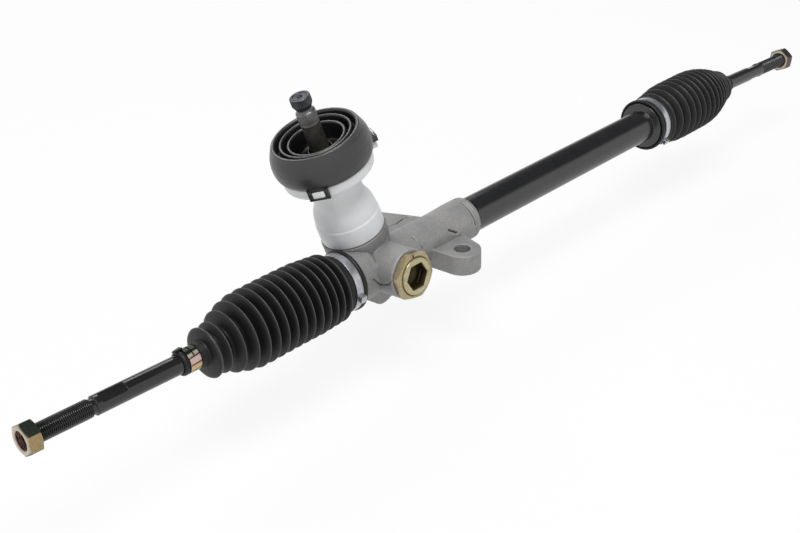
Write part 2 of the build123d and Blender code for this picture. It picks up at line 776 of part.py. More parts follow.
def boot(side):
    """Bellows on the rack's axis, and a neck that seats on the tie rod."""
    crests, start, w = fold_crests(side), boot_start(side), boot_wall
    seat = boot_seat_r + fit_gap
    outside, disc, neck = seat + w, neck_start(side) - 3, neck_start(side)
    disc_r = boot_disc_right_r if side > 0 else boot_disc_left_r
    cuff = crests[0][0] - (boot_fold_depth if side < 0 else 0)
    outer = [(outside, start), (outside + boot_lip_proud, start + 0.9),
             (outside + boot_lip_proud, start + boot_lip - 0.9), (outside, start + boot_lip),
             (outside, clamp_start(side) + clamp_width)]
    if side < 0:
        outer.append((outside + 0.6, cuff))
    for (at, r), (nxt, after) in zip(crests, crests[1:] + [(disc, disc_r)]):
        low = min(r, after)
        outer += [(r, at), (low * (1 - boot_fold_depth / boot_crest_r), (at + nxt) / 2)]
    body = [(r - w * 1.3, h) for r, h in outer[5:]]
    outer += [(disc_r, disc), (disc_r - 0.4, disc + 1.6), (boot_nose_r + 3.2, neck - 0.5)]
    inner = [(rod_r + 3.4, neck - 0.5), (disc_r - 4, disc)] + body[::-1]
    inner += [(seat, crests[0][0] - 5), (seat, start)]
    bellows = turned(side_plane(side), outer + inner)
    hole, base = rod_r + running_gap, neck - ball_centre
    nose = base + (boot_nose_length_right if side > 0 else boot_nose_length_left)
    clip_from, clip_to = clip_start(side), clip_start(side) + clip_width
    sleeve = turned(rod_plane(side), [
        (hole, base - 3), (boot_nose_r + 6, base - 3), (boot_nose_r + 6, base - 2.2),
        (boot_nose_r + 1.8, base + 0.6), (boot_nose_r + 1.5, clip_from - 0.6),
        (boot_nose_r, clip_from - 0.3), (boot_nose_r, clip_to + 0.3), (boot_nose_r + 0.3, clip_to + 0.6),
        (boot_nose_r + 0.3, nose - 0.8), (boot_nose_r - 0.5, nose), (hole, nose)])
    return biggest(bellows + sleeve)


def clamp_start(side):
    return boot_start(side) + (clamp_offset_right if side > 0 else clamp_offset_left)


def boot_clamp(side):
    """Crimped band with its pinched ear."""
    start = clamp_start(side)
    inner = boot_seat_r + boot_wall + 2 * fit_gap
    outer = inner + clamp_thickness
    band = ring(Plane.XY, outer, inner, start, start + clamp_width)
    leg = Box(4.2, clamp_thickness * 1.2, clamp_width * 0.8, align=OUTWARD)
    level = start + clamp_width / 2
    ear = Pos(outer - 0.3, -2.2, level) * leg + Pos(outer - 0.3, 2.2, level) * leg
    ear += Pos(outer + 3.4, 0, level) * Box(clamp_thickness * 1.2, 4.4 + clamp_thickness * 1.2,
                                            clamp_width * 0.8)
    return side_plane(side) * (band + Rot(0, 0, -60) * ear)


def clip_start(side):
    setback = clip_setback_right if side > 0 else clip_setback_left
    return neck_start(side) - ball_centre + setback


def boot_clip(side):
    """Spring clip on the boot's neck, with a grip tang that turns out along the rod."""
    start, inner = clip_start(side), boot_nose_r + fit_gap
    outer, end = inner + clip_thickness, start + clip_width
    turn = clip_turn_right_deg if side > 0 else clip_turn_left_deg
    stub = Box(2.2, 4.0, 1.1, align=(Align.MIN, Align.CENTER, Align.MAX))
    tang = Box(1.1, 4.0, clip_tang_length, align=AT_EDGE)
    grip = Pos(outer - 0.4, 0, end) * stub + Pos(outer + 0.7, 0, end - 1.1) * tang
    slot = Pos(inner - 1, 0, (start + end) / 2) * Box(4, 4.0, 1.6, align=OUTWARD)
    clip = ring(Plane.XY, outer, inner, start, end) + Rot(0, 0, turn) * grip
    return rod_plane(side) * (clip - Rot(0, 0, turn + 135) * slot)


def save(shape, name):
    export_step(shape, os.path.join("parts", name + ".step"))


os.makedirs("parts", exist_ok=True)
save(pinion_housing(), "pinion_housing")
save(rack_tube(), "rack_tube")
save(rack_bush(), "rack_bush")
save(rack_bar(), "rack_bar")
save(pinion_shaft(), "pinion_shaft")
save(needle_shell(), "needle_shell")
save(needle_rollers(), "needle_rollers")
save(bearing_race_ring(True), "bearing_outer_race")
save(bearing_race_ring(False), "bearing_inner_race")
save(bearing_balls(), "bearing_balls")
save(retaining_ring(), "retaining_ring")
save(shaft_seal(), "shaft_seal")
save(support_yoke(), "support_yoke")
save(yoke_liner(), "yoke_liner")
save(yoke_o_ring(), "yoke_o_ring")
save(yoke_spring(), "yoke_spring")
save(yoke_plug(), "yoke_plug")
save(yoke_lock_nut(), "yoke_lock_nut")
save(pinion_cover(), "pinion_cover")
save(dash_seal(), "dash_seal")
for side, word in ((-1, "left"), (1, "right")):
    save(ball_socket(side), "ball_socket_" + word)
    save(lock_washer(side), "lock_washer_" + word)
    save(ball_seat(side), "ball_seat_" + word)
    save(tie_rod(side), "tie_rod_" + word)
    save(jam_nut(side), "jam_nut_" + word)
    save(stop_ring(side), "stop_ring_" + word)
    save(boot(side), "boot_" + word)
    save(boot_clamp(side), "boot_clamp_" + word)
    save(boot_clip(side), "boot_clip_" + word)
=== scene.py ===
import bmesh
import bpy
import json
from math import atan2, cos, degrees, hypot, pi, radians, sin, tan
from mathutils import Matrix, Vector


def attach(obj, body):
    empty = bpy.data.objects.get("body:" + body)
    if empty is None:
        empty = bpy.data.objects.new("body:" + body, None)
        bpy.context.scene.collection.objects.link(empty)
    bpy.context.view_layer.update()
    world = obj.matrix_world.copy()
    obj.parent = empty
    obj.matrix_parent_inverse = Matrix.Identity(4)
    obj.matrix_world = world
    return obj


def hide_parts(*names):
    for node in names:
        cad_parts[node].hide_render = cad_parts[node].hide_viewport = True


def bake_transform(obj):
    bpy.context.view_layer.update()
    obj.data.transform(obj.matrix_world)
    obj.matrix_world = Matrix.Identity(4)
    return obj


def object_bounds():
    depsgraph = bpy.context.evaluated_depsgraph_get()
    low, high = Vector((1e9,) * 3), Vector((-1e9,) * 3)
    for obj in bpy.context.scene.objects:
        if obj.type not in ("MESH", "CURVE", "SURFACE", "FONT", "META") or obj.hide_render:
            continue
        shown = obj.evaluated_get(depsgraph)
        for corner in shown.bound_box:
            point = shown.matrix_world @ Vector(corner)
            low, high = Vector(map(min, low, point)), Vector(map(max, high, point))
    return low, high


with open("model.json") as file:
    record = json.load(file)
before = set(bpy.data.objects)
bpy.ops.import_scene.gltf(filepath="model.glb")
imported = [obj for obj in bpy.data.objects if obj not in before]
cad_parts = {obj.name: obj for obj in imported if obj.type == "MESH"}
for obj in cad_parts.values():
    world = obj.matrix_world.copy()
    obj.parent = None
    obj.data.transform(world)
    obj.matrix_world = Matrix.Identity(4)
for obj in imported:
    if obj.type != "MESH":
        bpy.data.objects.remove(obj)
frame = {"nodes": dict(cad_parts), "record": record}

CAD_LOW, CAD_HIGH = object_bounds()
NODES = frame["nodes"]
SCENE = bpy.context.scene
MM = 0.001

# ---- sizes, in millimetres, as in the solid model ----
TILT, ROLL, TOOTH_LEAN = radians(16.5), radians(6.0), radians(8.5)
PINION_X, YOKE_X = -166.5, -167.5
CENTRE_DISTANCE = 7.6 + 7.0 / cos(TOOTH_LEAN + TILT)
TUBE_R, TUBE_BORE, TUBE_START, BELL_START, TUBE_END, STOP_SEAT = 15.7, 13.1, -81.8, 211.0, 232.0, 213.5
SEAT_R, BALL_X, BALL_R = 22.6, 304.0, 14.0
ROD_R, ROD_LENGTH, FLATS_WIDTH, FLATS_LENGTH, FLATS_TURN = 7.4, 191.7, 12.0, 20.0, radians(67)
THREAD_R, THREAD_CORE_R, THREAD_PITCH, THREAD_LENGTH = 7.0, 6.05, 1.5, 52.2
NUT_FLATS, NUT_HEIGHT, NUT_END, NUT_TURN = 22.0, 11.5, 196.0, 35
LOCK_NUT_FLATS, LOCK_NUT_BORE_R, LOCK_NUT_TURN = 36.5, 15.7, 48
PLUG_R, PLUG_FACE, PLUG_HEX, PLUG_HEX_DEPTH = 15.6, 46.0, 20.5, 7.5
COVER_LOW, COVER_TOP, SEAL_LOW, SEAL_TOP, FIRST_HOOK = 31.4, 98.5, 98.8, 126.5, 214.5
# the second value sets how strongly the casting's hollows take painted shade, per millimetre of hollow
VOXEL, HOLLOW_SHADE_REACH = 0.65, 1.1

# ---- sizes that differ from side to side: -1 is left, 1 is right ----
SIDES = (-1, 1)
REST_ANGLE = {-1: radians(1.7), 1: -radians(2.5)}
BOOT_START, BOOT_NECK = {-1: 203.0, 1: 213.0}, {-1: 349.0, 1: 358.0}
STRETCH_START, DISC_R = {-1: 222.0, 1: 234.0}, {-1: 20.2, 1: 17.6}
BAND_SETBACK, CLIP_SETBACK, NOSE_LENGTH = {-1: 4.3, 1: 7.0}, {-1: 7.6, 1: 2.0}, {-1: 22.0, 1: 16.5}
EAR_TURN, TANG_TURN = {-1: -8, 1: -147}, {-1: 108, 1: -95}


# ---- places ----
def place(origin, z_dir, x_dir):
    """Matrix from a part's own millimetres to the row's metres."""
    z, x = Vector(z_dir).normalized(), Vector(x_dir).normalized()
    y = z.cross(x)
    turn = Matrix((x, y, z)).transposed().to_4x4()
    return Matrix.Translation(Vector(origin) * MM) @ turn @ Matrix.Scale(MM, 4)


INWARD = Vector((0, cos(ROLL), -sin(ROLL)))
PINION_DIR = (-sin(TILT), cos(TILT) * sin(ROLL), cos(TILT) * cos(ROLL))
PINION_SIDE = (cos(TILT), sin(TILT) * sin(ROLL), sin(TILT) * cos(ROLL))
PINION = place((PINION_X, INWARD.y * CENTRE_DISTANCE, INWARD.z * CENTRE_DISTANCE), PINION_DIR, PINION_SIDE)
YOKE = place((YOKE_X, 0, 0), -INWARD, (1, 0, 0))
ALONG = place((0, 0, 0), (1, 0, 0), (0, 1, 0))


def side_place(side):
    """Rack's axis, with +Z away from the middle."""
    return place((0, 0, 0), (side, 0, 0), (0, side, 0))


def rod_place(side):
    """Rod's own frame, with its origin at the ball's centre."""
    a = REST_ANGLE[side]
    return place((side * BALL_X, 0, 0), (side * cos(a), 0, sin(a)), (0, side, 0))


def hook_place(k):
    """Pinion's frame turned to one of the three hooks that hold the seal on the cover."""
    return PINION @ Matrix.Rotation(radians(FIRST_HOOK + 120 * k), 4, "Z")


def word(side):
    return "right" if side > 0 else "left"


# ---- meshes ----
def build(name, verts, faces, matrix, material, body=None, node=None, sharp=38):
    """Mesh piece from points in its own frame, smooth but for edges over an angle."""
    mesh = bpy.data.meshes.new(name)
    mesh.from_pydata([tuple(matrix @ Vector(v)) for v in verts], [], faces)
    work = bmesh.new()
    work.from_mesh(mesh)
    bmesh.ops.remove_doubles(work, verts=work.verts, dist=1e-7)
    bmesh.ops.recalc_face_normals(work, faces=work.faces)
    work.to_mesh(mesh)
    work.free()
    mesh.shade_smooth()
    mesh.set_sharp_from_angle(angle=radians(sharp))
    piece = bpy.data.objects.new(name, mesh)
    SCENE.collection.objects.link(piece)
    mesh.materials.append(material)
    if body:
        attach(piece, body)
    if node:
        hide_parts(node)
    return piece


def skin(rows, ring=True, column=False):
    """Faces between rows of points; a ring closes each row, a column joins the last row to the first."""
    n = len(rows[0])
    faces = []
    for i in range(len(rows) if column else len(rows) - 1):
        a, b = i * n, (i + 1) % len(rows) * n
        for j in range(n if ring else n - 1):
            k = (j + 1) % n
            faces.append((a + j, a + k, b + k, b + j))
    return [p for row in rows for p in row], faces


def softened(points, cut, steps=3):
    """Profile with each corner between its two ends rounded off."""
    out = [points[0]]
    for a, b, c in zip(points, points[1:], points[2:]):
        va, vb, vc = Vector(a), Vector(b), Vector(c)
        ab, bc = (va - vb).length, (vc - vb).length
        t = min(cut, 0.45 * ab, 0.45 * bc)
        p, q = vb + (va - vb) * t / ab, vb + (vc - vb) * t / bc
        for k in range(steps + 1):
            s = k / steps
            out.append(tuple((1 - s) ** 2 * p + 2 * s * (1 - s) * vb + s * s * q))
    return out + [points[-1]]


def circle_rows(profile, n=144, wobble=None):
    """One circle of points for each radius and height, optionally moved by a rule."""
    rows = []
    for r, h in profile:
        row = []
        for j in range(n):
            t = 2 * pi * j / n
            rr, hh = wobble(r, h, t) if wobble else (r, h)
            row.append((rr * cos(t), rr * sin(t), hh))
        rows.append(row)
    return rows


def turned(name, profile, matrix, material, body=None, node=None, n=144, closed=True, wobble=None,
           sharp=38):
    """Turned piece from a profile of radii and heights."""
    verts, faces = skin(circle_rows(profile, n, wobble), True, closed)
    return build(name, verts, faces, matrix, material, body, node, sharp)


def rounded_box(name, low, high, matrix, material, body, radius=0.4, shape=None):
    """Block with its edges rolled over, optionally bent by a function of its points."""
    mesh = bpy.data.meshes.new(name)
    work = bmesh.new()
    bmesh.ops.create_cube(work, size=1)
    for v in work.verts:
        v.co = Vector([low[i] + (v.co[i] + 0.5) * (high[i] - low[i]) for i in range(3)])
    bmesh.ops.bevel(work, geom=work.edges[:], offset=radius, segments=3, profile=0.5, affect="EDGES")
    for v in work.verts:
        v.co = matrix @ (Vector(shape(v.co)) if shape else v.co)
    bmesh.ops.recalc_face_normals(work, faces=work.faces)
    work.to_mesh(mesh)
    work.free()
    mesh.shade_smooth()
    mesh.set_sharp_from_angle(angle=radians(50))
    piece = bpy.data.objects.new(name, mesh)
    SCENE.collection.objects.link(piece)
    mesh.materials.append(material)
    if material in (SEAL, BOOT):
        paint(piece, Matrix.Identity(4), lambda x, y, z: 0.35)
    # plated blocks, the clip's stub and tang, take the olive painted reflection all over
    if material is ZINC:
        film_and_painted_light(piece, Matrix.Identity(4), lambda angle, r, z: OLIVE_REFLECTION)
    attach(piece, body)
    return piece


def paint(piece, matrix, rule):
    """Level of wearing and of painted light and shade, from 0 to 1 at each vertex, from a rule in the piece's
    own millimetres.
    """
    back = matrix.inverted()
    layer = piece.data.attributes.new("wear_and_painted_light", "FLOAT", "POINT")
    layer.data.foreach_set("value", [rule(*(back @ v.co)) for v in piece.data.vertices])


def film_and_painted_light(piece, matrix, rule):
    """Colour of the plating at each vertex, painted reflections, highlights and shade included, from a rule of
    angle, radius and height.
    """
    back = matrix.inverted()
    layer = piece.data.color_attributes.new("film_and_painted_light", "FLOAT_COLOR", "POINT")
    values = []
    for v in piece.data.vertices:
        x, y, z = back @ v.co
        values += [*rule(degrees(atan2(y, x)) % 360, hypot(x, y), z), 1.0]
    layer.data.foreach_set("color", values)


def hex_reach(flats, angle, turn=0.0):
    """Distance from a hexagon's centre to its side at an angle."""
    a = (degrees(angle) - turn) % 60 - 30
    return flats / 2 / cos(radians(a))


# ---- materials ----
def material(name, roughness, spots, coarse, metallic=0.0, fine=None, bump=0.0, bump_scale=900.0, swing=0.08,
             specular=0.5, grain=None, wear_and_painted_light=None, wear_rough=None, plated=False):
    """Principled surface with mottled colour, uneven gloss and a fine relief, all procedural.

    The spots and the wearing with its painted light and shade are colour ramps. That ramp reads the pieces'
    own level of wearing and painted light, and it multiplies the spots. A plated surface takes its colour
    from the plating painted on the piece, with its painted reflections, highlights and shade.
    """
    mat = bpy.data.materials.new(name)
    mat.use_nodes = True
    nodes, links = mat.node_tree.nodes, mat.node_tree.links
    shader = nodes["Principled BSDF"]
    shader.inputs["Metallic"].default_value = metallic
    shader.inputs["Specular IOR Level"].default_value = specular
    coords = nodes.new("ShaderNodeTexCoord").outputs["Object"]
    if grain:
        stretch = nodes.new("ShaderNodeMapping")
        stretch.inputs["Scale"].default_value = grain
        links.new(coords, stretch.inputs["Vector"])
        coords = stretch.outputs["Vector"]

    def noise(scale, detail, rough=0.55):
        n = nodes.new("ShaderNodeTexNoise")
        n.inputs["Scale"].default_value, n.inputs["Detail"].default_value = scale, detail
        n.inputs["Roughness"].default_value = rough
        links.new(coords, n.inputs["Vector"])
        return n.outputs["Fac"]

    def ramp(fac, stops):
        r = nodes.new("ShaderNodeValToRGB")
        r.color_ramp.elements.remove(r.color_ramp.elements[1])
        r.color_ramp.elements[0].position, r.color_ramp.elements[0].color = stops[0][0], (*stops[0][1], 1)
        for at, c in stops[1:]:
            r.color_ramp.elements.new(at).color = (*c, 1)
        links.new(fac, r.inputs["Fac"])
        return r.outputs["Color"]

    def mixed(kind, factor, a, b):
        m = nodes.new("ShaderNodeMix")
        m.data_type, m.blend_type = "RGBA", kind
        m.inputs[0].default_value = factor
        links.new(a, m.inputs[6])
        links.new(b, m.inputs[7])
        return m.outputs[2]

    def attribute(title, socket):
        a = nodes.new("ShaderNodeAttribute")
        a.attribute_name = title
        return a.outputs[socket]

    out = ramp(noise(coarse, 5.0), spots)
    if fine:
        scale, strength = fine
        specks = ramp(noise(scale, 3.0), [(0.35, grey(0.5)), (0.65, grey(1.0))])
        out = mixed("MULTIPLY", strength, out, specks)
    # painted highlights and painted shade of the boots, the casting and the seal come in with this ramp
    if wear_and_painted_light:
        out = mixed("MULTIPLY", 1.0, out, ramp(attribute("wear_and_painted_light", "Fac"), wear_and_painted_light))
    # the plating colours carry painted reflections, highlights and shade on the nut, the plug and the clip
    if plated:
        out = mixed("MULTIPLY", 1.0, out, attribute("film_and_painted_light", "Color"))
    links.new(out, shader.inputs["Base Color"])
    gloss = nodes.new("ShaderNodeMapRange")
    gloss.inputs["To Min"].default_value = max(0.03, roughness - swing)
    gloss.inputs["To Max"].default_value = min(1.0, roughness + swing)
    links.new(noise(120.0, 4.0), gloss.inputs["Value"])
    rough = gloss.outputs["Result"]
    if wear_rough:
        scaled = nodes.new("ShaderNodeMath")
        scaled.operation = "MULTIPLY"
        links.new(rough, scaled.inputs[0])
        links.new(ramp(attribute("wear_and_painted_light", "Fac"), [(at, grey(v)) for at, v in wear_rough]), scaled.inputs[1])
        rough = scaled.outputs[0]
    links.new(rough, shader.inputs["Roughness"])
    if bump:
        relief = nodes.new("ShaderNodeBump")
        relief.inputs["Strength"].default_value = bump
        relief.inputs["Distance"].default_value = 0.0004
        links.new(noise(bump_scale, 4.0, 0.6), relief.inputs["Height"])
        links.new(relief.outputs["Normal"], shader.inputs["Normal"])
    return mat


def grey(v, warm=1.0):
    return [v * warm, v, v / warm]


# the last ramp paints shade into the casting's hollows and the collar, and lightens its outward edges
CAST = material("cast_aluminium", 0.5,
                [(0.25, grey(0.22, 1.01)), (0.5, grey(0.28, 1.01)), (0.75, grey(0.335, 1.02))], 28, 0.25,
                fine=(520, 0.35), bump=0.45, bump_scale=1500, specular=0.4,
                wear_and_painted_light=[(0.0, grey(1.25)), (0.32, grey(1.0)), (0.55, grey(1.0)), (0.8, grey(0.5)),
                      (1.0, grey(0.22))])
BLACK_TUBE = material("black_tube", 0.2, [(0.3, grey(0.009, 0.97)), (0.7, grey(0.014, 0.97))], 60, bump=0.06,
                      bump_scale=1300, specular=0.75, swing=0.05)
BLACK_ROD = material("black_rod", 0.2, [(0.3, grey(0.005)), (0.7, grey(0.012))], 90, bump=0.2, bump_scale=700,
                     specular=0.6, grain=(0.25, 1, 1))
# the last ramp paints a highlight along each fold's crest and shade down each valley
BOOT = material("boot_rubber", 0.5, [(0.3, grey(0.85)), (0.7, grey(1.0, 0.99))], 70, bump=0.08,
                bump_scale=1600, specular=0.3, wear_rough=[(0.0, 1.0), (0.3, 1.0), (1.0, 0.75)],
                wear_and_painted_light=[(0.0, grey(0.001)), (0.15, grey(0.002)), (0.4, grey(0.009)), (0.75, grey(0.018)),
                      (1.0, grey(0.09, 0.98))])
# the last ramp darkens the seal down in its cup as painted shade, and pales the rubbed lip tips
SEAL = material("seal_rubber", 0.36, [(0.3, grey(0.85)), (0.7, grey(1.0))], 50, bump=0.08, bump_scale=1500,
                specular=0.6, wear_and_painted_light=[(0.0, grey(0.004)), (0.4, grey(0.018)), (1.0, grey(0.12))])
COVER = material("cover_plastic", 0.36, [(0.3, [0.70, 0.71, 0.72]), (0.7, [0.78, 0.79, 0.79])], 25, bump=0.04,
                 bump_scale=700, specular=0.45)
ZINC = material("yellow_zinc", 0.3,
                [(0.2, [0.6, 0.66, 0.6]), (0.45, [1.0, 1.0, 1.0]), (0.6, [1.0, 0.94, 0.9]),
                 (0.8, [0.8, 0.86, 0.8])], 190, 0.8, fine=(900, 0.35), bump=0.15, bump_scale=1500, plated=True)
DARK_STEEL = material("dark_steel", 0.38, [(0.3, grey(0.09)), (0.7, grey(0.14))], 45, 0.8, fine=(600, 0.3),
                      bump=0.15)
SHAFT = material("shaft_steel", 0.34, [(0.25, grey(0.6)), (0.55, grey(1.0)), (0.8, grey(1.35, 1.02))], 130,
                 0.8, fine=(800, 0.5), bump=0.2, bump_scale=1200,
                 wear_and_painted_light=[(0.0, [0.012, 0.007, 0.005]), (0.25, [0.06, 0.038, 0.024]),
                       (0.45, [0.19, 0.18, 0.155]), (0.8, [0.17, 0.175, 0.185]),
                       (1.0, [0.055, 0.058, 0.066])])
GROUND = material("ground_steel", 0.22, [(0.3, grey(0.42)), (0.7, grey(0.55))], 60, 0.95, fine=(900, 0.15),
                  bump=0.05, grain=(1, 8, 8))
BEARING = material("bearing_steel", 0.18, [(0.3, grey(0.5)), (0.7, grey(0.65))], 80, 1.0, fine=(900, 0.1),
                   bump=0.04)
SPRING = material("spring_steel", 0.3, [(0.3, grey(0.13)), (0.7, grey(0.2))], 120, 0.9, fine=(700, 0.2),
                  bump=0.1)
YOKE_METAL = material("yoke_aluminium", 0.4, [(0.3, grey(0.45)), (0.7, grey(0.6))], 80, 0.85, fine=(600, 0.2),
                      bump=0.2, grain=(1, 6, 1))
BUSH = material("bush_plastic", 0.45, [(0.3, [0.60, 0.58, 0.52]), (0.7, [0.74, 0.72, 0.65])], 60, bump=0.08)
CLAMP = material("clamp_steel", 0.3,
                 [(0.25, [0.36, 0.37, 0.40]), (0.5, [0.50, 0.51, 0.54]), (0.75, [0.58, 0.59, 0.61])], 200,
                 0.8, fine=(700, 0.25), bump=0.1)
BY_SLOT = {"cast_aluminium": CAST, "black_tube": BLACK_TUBE, "black_rod": BLACK_ROD, "boot_rubber": BOOT,
           "seal_rubber": SEAL, "cover_plastic": COVER, "yellow_zinc": ZINC, "dark_steel": DARK_STEEL,
           "shaft_steel": SHAFT, "ground_steel": GROUND, "bearing_steel": BEARING, "spring_steel": SPRING,
           "yoke_aluminium": YOKE_METAL, "bush_plastic": BUSH, "clamp_steel": CLAMP}

# ---- colours of the plated films, and the olive of a painted reflection ----
CREAM, GOLD, PINK = (0.60, 0.55, 0.44), (0.36, 0.28, 0.14), (0.62, 0.46, 0.44)
# the olive here is the zinc's olive hue darkened as a painted reflection
OLIVE_REFLECTION, BROWN, SOOT = (0.030, 0.042, 0.028), (0.055, 0.038, 0.030), (0.020, 0.015, 0.013)
RUST, DEEP_RUST, SEAM = (0.16, 0.09, 0.08), (0.05, 0.02, 0.015), (0.05, 0.03, 0.03)


def dress_cad_nodes():
    """Every CAD node takes the procedural material of its slot."""
    for part in frame["record"]["subparts"]:
        node = NODES[part["node"]]
        for holder in node.material_slots:
            holder.material = BY_SLOT[part["material_slot"]]


# ---- tube ----
def make_tube():
    """Bare tube that widens to the seat of the far boot."""
    r, bore, end = TUBE_R, TUBE_BORE, TUBE_END
    profile = [(bore, TUBE_START), (r, TUBE_START), (r, BELL_START), (SEAT_R, BELL_START + 0.8),
               (SEAT_R, end), (SEAT_R - 3, end), (SEAT_R - 3, STOP_SEAT), (bore, STOP_SEAT),
               (bore, TUBE_START)]
    profile = softened(profile, 0.6)[:-1]
    turned("tube_body", profile, ALONG, BLACK_TUBE, "housing", "rack_tube", n=192)


# ---- tie rods, nuts and threads ----
def thread_rows(start, end, crest, root, n, steps=8):
    """Rows of a right-hand screw thread, run out to the core at both ends."""
    rows, pitch = [], THREAD_PITCH
    for i in range(int((end - start) / pitch * steps) + 1):
        h = start + i * pitch / steps
        row = []
        for j in range(n):
            t = 2 * pi * j / n
            phase = (h / pitch - t / (2 * pi)) % 1.0
            up = 1 - abs(2 * phase - 1)
            fade = min(1.0, (h - start) / (pitch * 0.8), (end - h) / (pitch * 0.8))
            r = root + (crest - root) * min(1.0, up * 1.15) * max(0.0, fade)
            row.append((r * cos(t), r * sin(t), h))
        rows.append(row)
    return rows


def make_rod(side):
    """Shank with two wrench flats, a relief groove and the thread."""
    thread = ROD_LENGTH - THREAD_LENGTH
    flats = thread - 5 - FLATS_LENGTH

    def flat(r, h, t):
        """Radius cut back to the flats, which run out on a slope at both ends."""
        across = FLATS_WIDTH / 2 + 4 * max(0.0, (flats - h) / 1.6, (h - thread + 4.5) / 1.6)
        lean = abs(cos(t - FLATS_TURN))
        if r * lean <= across or h < flats - 3 or h > thread - 1.5:
            return r, h
        return min(r, across / max(0.05, lean)), h

    shank = [(0, 0), (6.4, 0), (6.4, 24), (ROD_R, 34)]
    shank += [(ROD_R, 34 + (flats - 38) * k / 3) for k in range(1, 4)]
    shank += [(ROD_R, flats - 2.4 + 0.3 * k) for k in range(10)]
    shank += [(ROD_R, flats + 1 + (FLATS_LENGTH - 2) * k / 5) for k in range(6)]
    shank += [(ROD_R, thread - 5.0 + 0.3 * k) for k in range(12)]
    shank += [(ROD_R, thread - 0.6), (ROD_R - 0.5, thread - 0.1), (5.9, thread + 0.5), (5.9, thread + 2.2)]
    tip = [(5.8, ROD_LENGTH - 0.2), (5.2, ROD_LENGTH), (0, ROD_LENGTH)]
    rows = circle_rows(shank, 120, flat) + circle_rows([(5.9, thread + 2.4)], 120)
    rows += thread_rows(thread + 2.6, ROD_LENGTH - 0.4, THREAD_R, THREAD_CORE_R, 120) + circle_rows(tip, 120)
    verts, faces = skin(rows)
    build("rod_" + word(side), verts, faces, rod_place(side), BLACK_ROD, "rod_" + word(side),
          "tie_rod_" + word(side), sharp=33)
    arc = [radians(a) for a in range(0, 181, 6)]
    ball = [(BALL_R * sin(a), BALL_R * cos(a)) for a in arc]
    turned("ball_" + word(side), ball, rod_place(side), DARK_STEEL, "rod_" + word(side),
           "tie_rod_" + word(side), n=72, closed=False)


def make_nut(side):
    """Hex nut with turned bevels on both faces and its thread cut through."""
    low, high, top, mouth, n = NUT_END - NUT_HEIGHT, NUT_END, 9.6, THREAD_R + 1.0, 180

    def corners(h, outward):
        """Edge of the hexagon, cut back where its corners reach past the turned bevel."""
        row = []
        for j in range(n):
            t = 2 * pi * j / n
            reach = hex_reach(NUT_FLATS, t, NUT_TURN)
            drop = max(0.0, reach - top) * tan(radians(28))
            row.append((reach * cos(t), reach * sin(t), h - outward * drop))
        return row

    rows = circle_rows([(mouth, low), (top - 0.3, low), (top, low + 0.05)], n)
    rows += [corners(low, -1), corners(high, 1)]
    rows += circle_rows([(top, high - 0.05), (top - 0.3, high), (mouth + 0.2, high),
                         (mouth - 0.1, high - 0.3)], n)
    rows += thread_rows(low + 0.9, high - 1.0, THREAD_R + 0.75, THREAD_R + 0.06, n)[::-1]
    rows += circle_rows([(THREAD_R + 0.9, low + 0.5)], n)
    verts, faces = skin(rows, True, True)
    piece = build("nut_" + word(side), verts, faces, rod_place(side), ZINC,
                  "nut_" + word(side), "jam_nut_" + word(side), sharp=25)
    # two facets of the left nut take the olive painted reflection; the others are the plating's own gold and
    # brown
    facets = (GOLD, OLIVE_REFLECTION, GOLD, BROWN, GOLD, OLIVE_REFLECTION) if side < 0 else (BROWN,) * 6

    def plating_and_painted_light(angle, r, h):
        if r < THREAD_R + 0.8:
            return RUST
        if r > hex_reach(NUT_FLATS, radians(angle), NUT_TURN) - 0.25:
            return facets[int((angle + 60 - NUT_TURN) % 360 / 60)]
        return CREAM if side < 0 or r > 8.9 else SOOT

    film_and_painted_light(piece, rod_place(side), plating_and_painted_light)


# ---- yoke plug and its lock nut ----
def make_plug():
    """Screwed plug with a hex socket in its face."""
    face, r, n, flats, bottom = PLUG_FACE, PLUG_R, 180, PLUG_HEX, PLUG_FACE - PLUG_HEX_DEPTH

    def hex_row(grow, h):
        row = []
        for j in range(n):
            t = 2 * pi * j / n
            reach = hex_reach(flats, t) + grow
            row.append((reach * cos(t), reach * sin(t), h))
        return row

    body = [(0, 34.5), (r - 1, 34.5), (r, 35.5)] + [(r, 36 + k) for k in range(8)]
    body += [(r, face - 0.9), (r - 0.25, face - 0.35), (r - 0.9, face)]
    socket = ((1.1, face), (0.35, face - 0.12), (0, face - 0.5), (0, bottom + 0.6), (-0.5, bottom))
    rows = circle_rows(body, n) + [hex_row(grow, h) for grow, h in socket]
    rows += circle_rows([(7.2, bottom), (3.0, bottom - 0.3), (1.2, bottom - 1.4), (0, bottom - 1.6)], n)
    verts, faces = skin(rows)
    piece = build("plug", verts, faces, YOKE, ZINC, "housing", "yoke_plug", sharp=32)

    def plating_and_painted_light(angle, r, h):
        # inside the hex socket: painted shade, darker near the mouth and darkest at the bottom; the rim is the
        # plating's own colour
        rim, mouth, depth = (0.50, 0.46, 0.27), (0.20, 0.17, 0.09), (0.045, 0.034, 0.016)
        if r > hex_reach(flats, radians(angle)) + 0.2:
            return rim
        return mouth if h > face - 1.5 else depth

    film_and_painted_light(piece, YOKE, plating_and_painted_light)


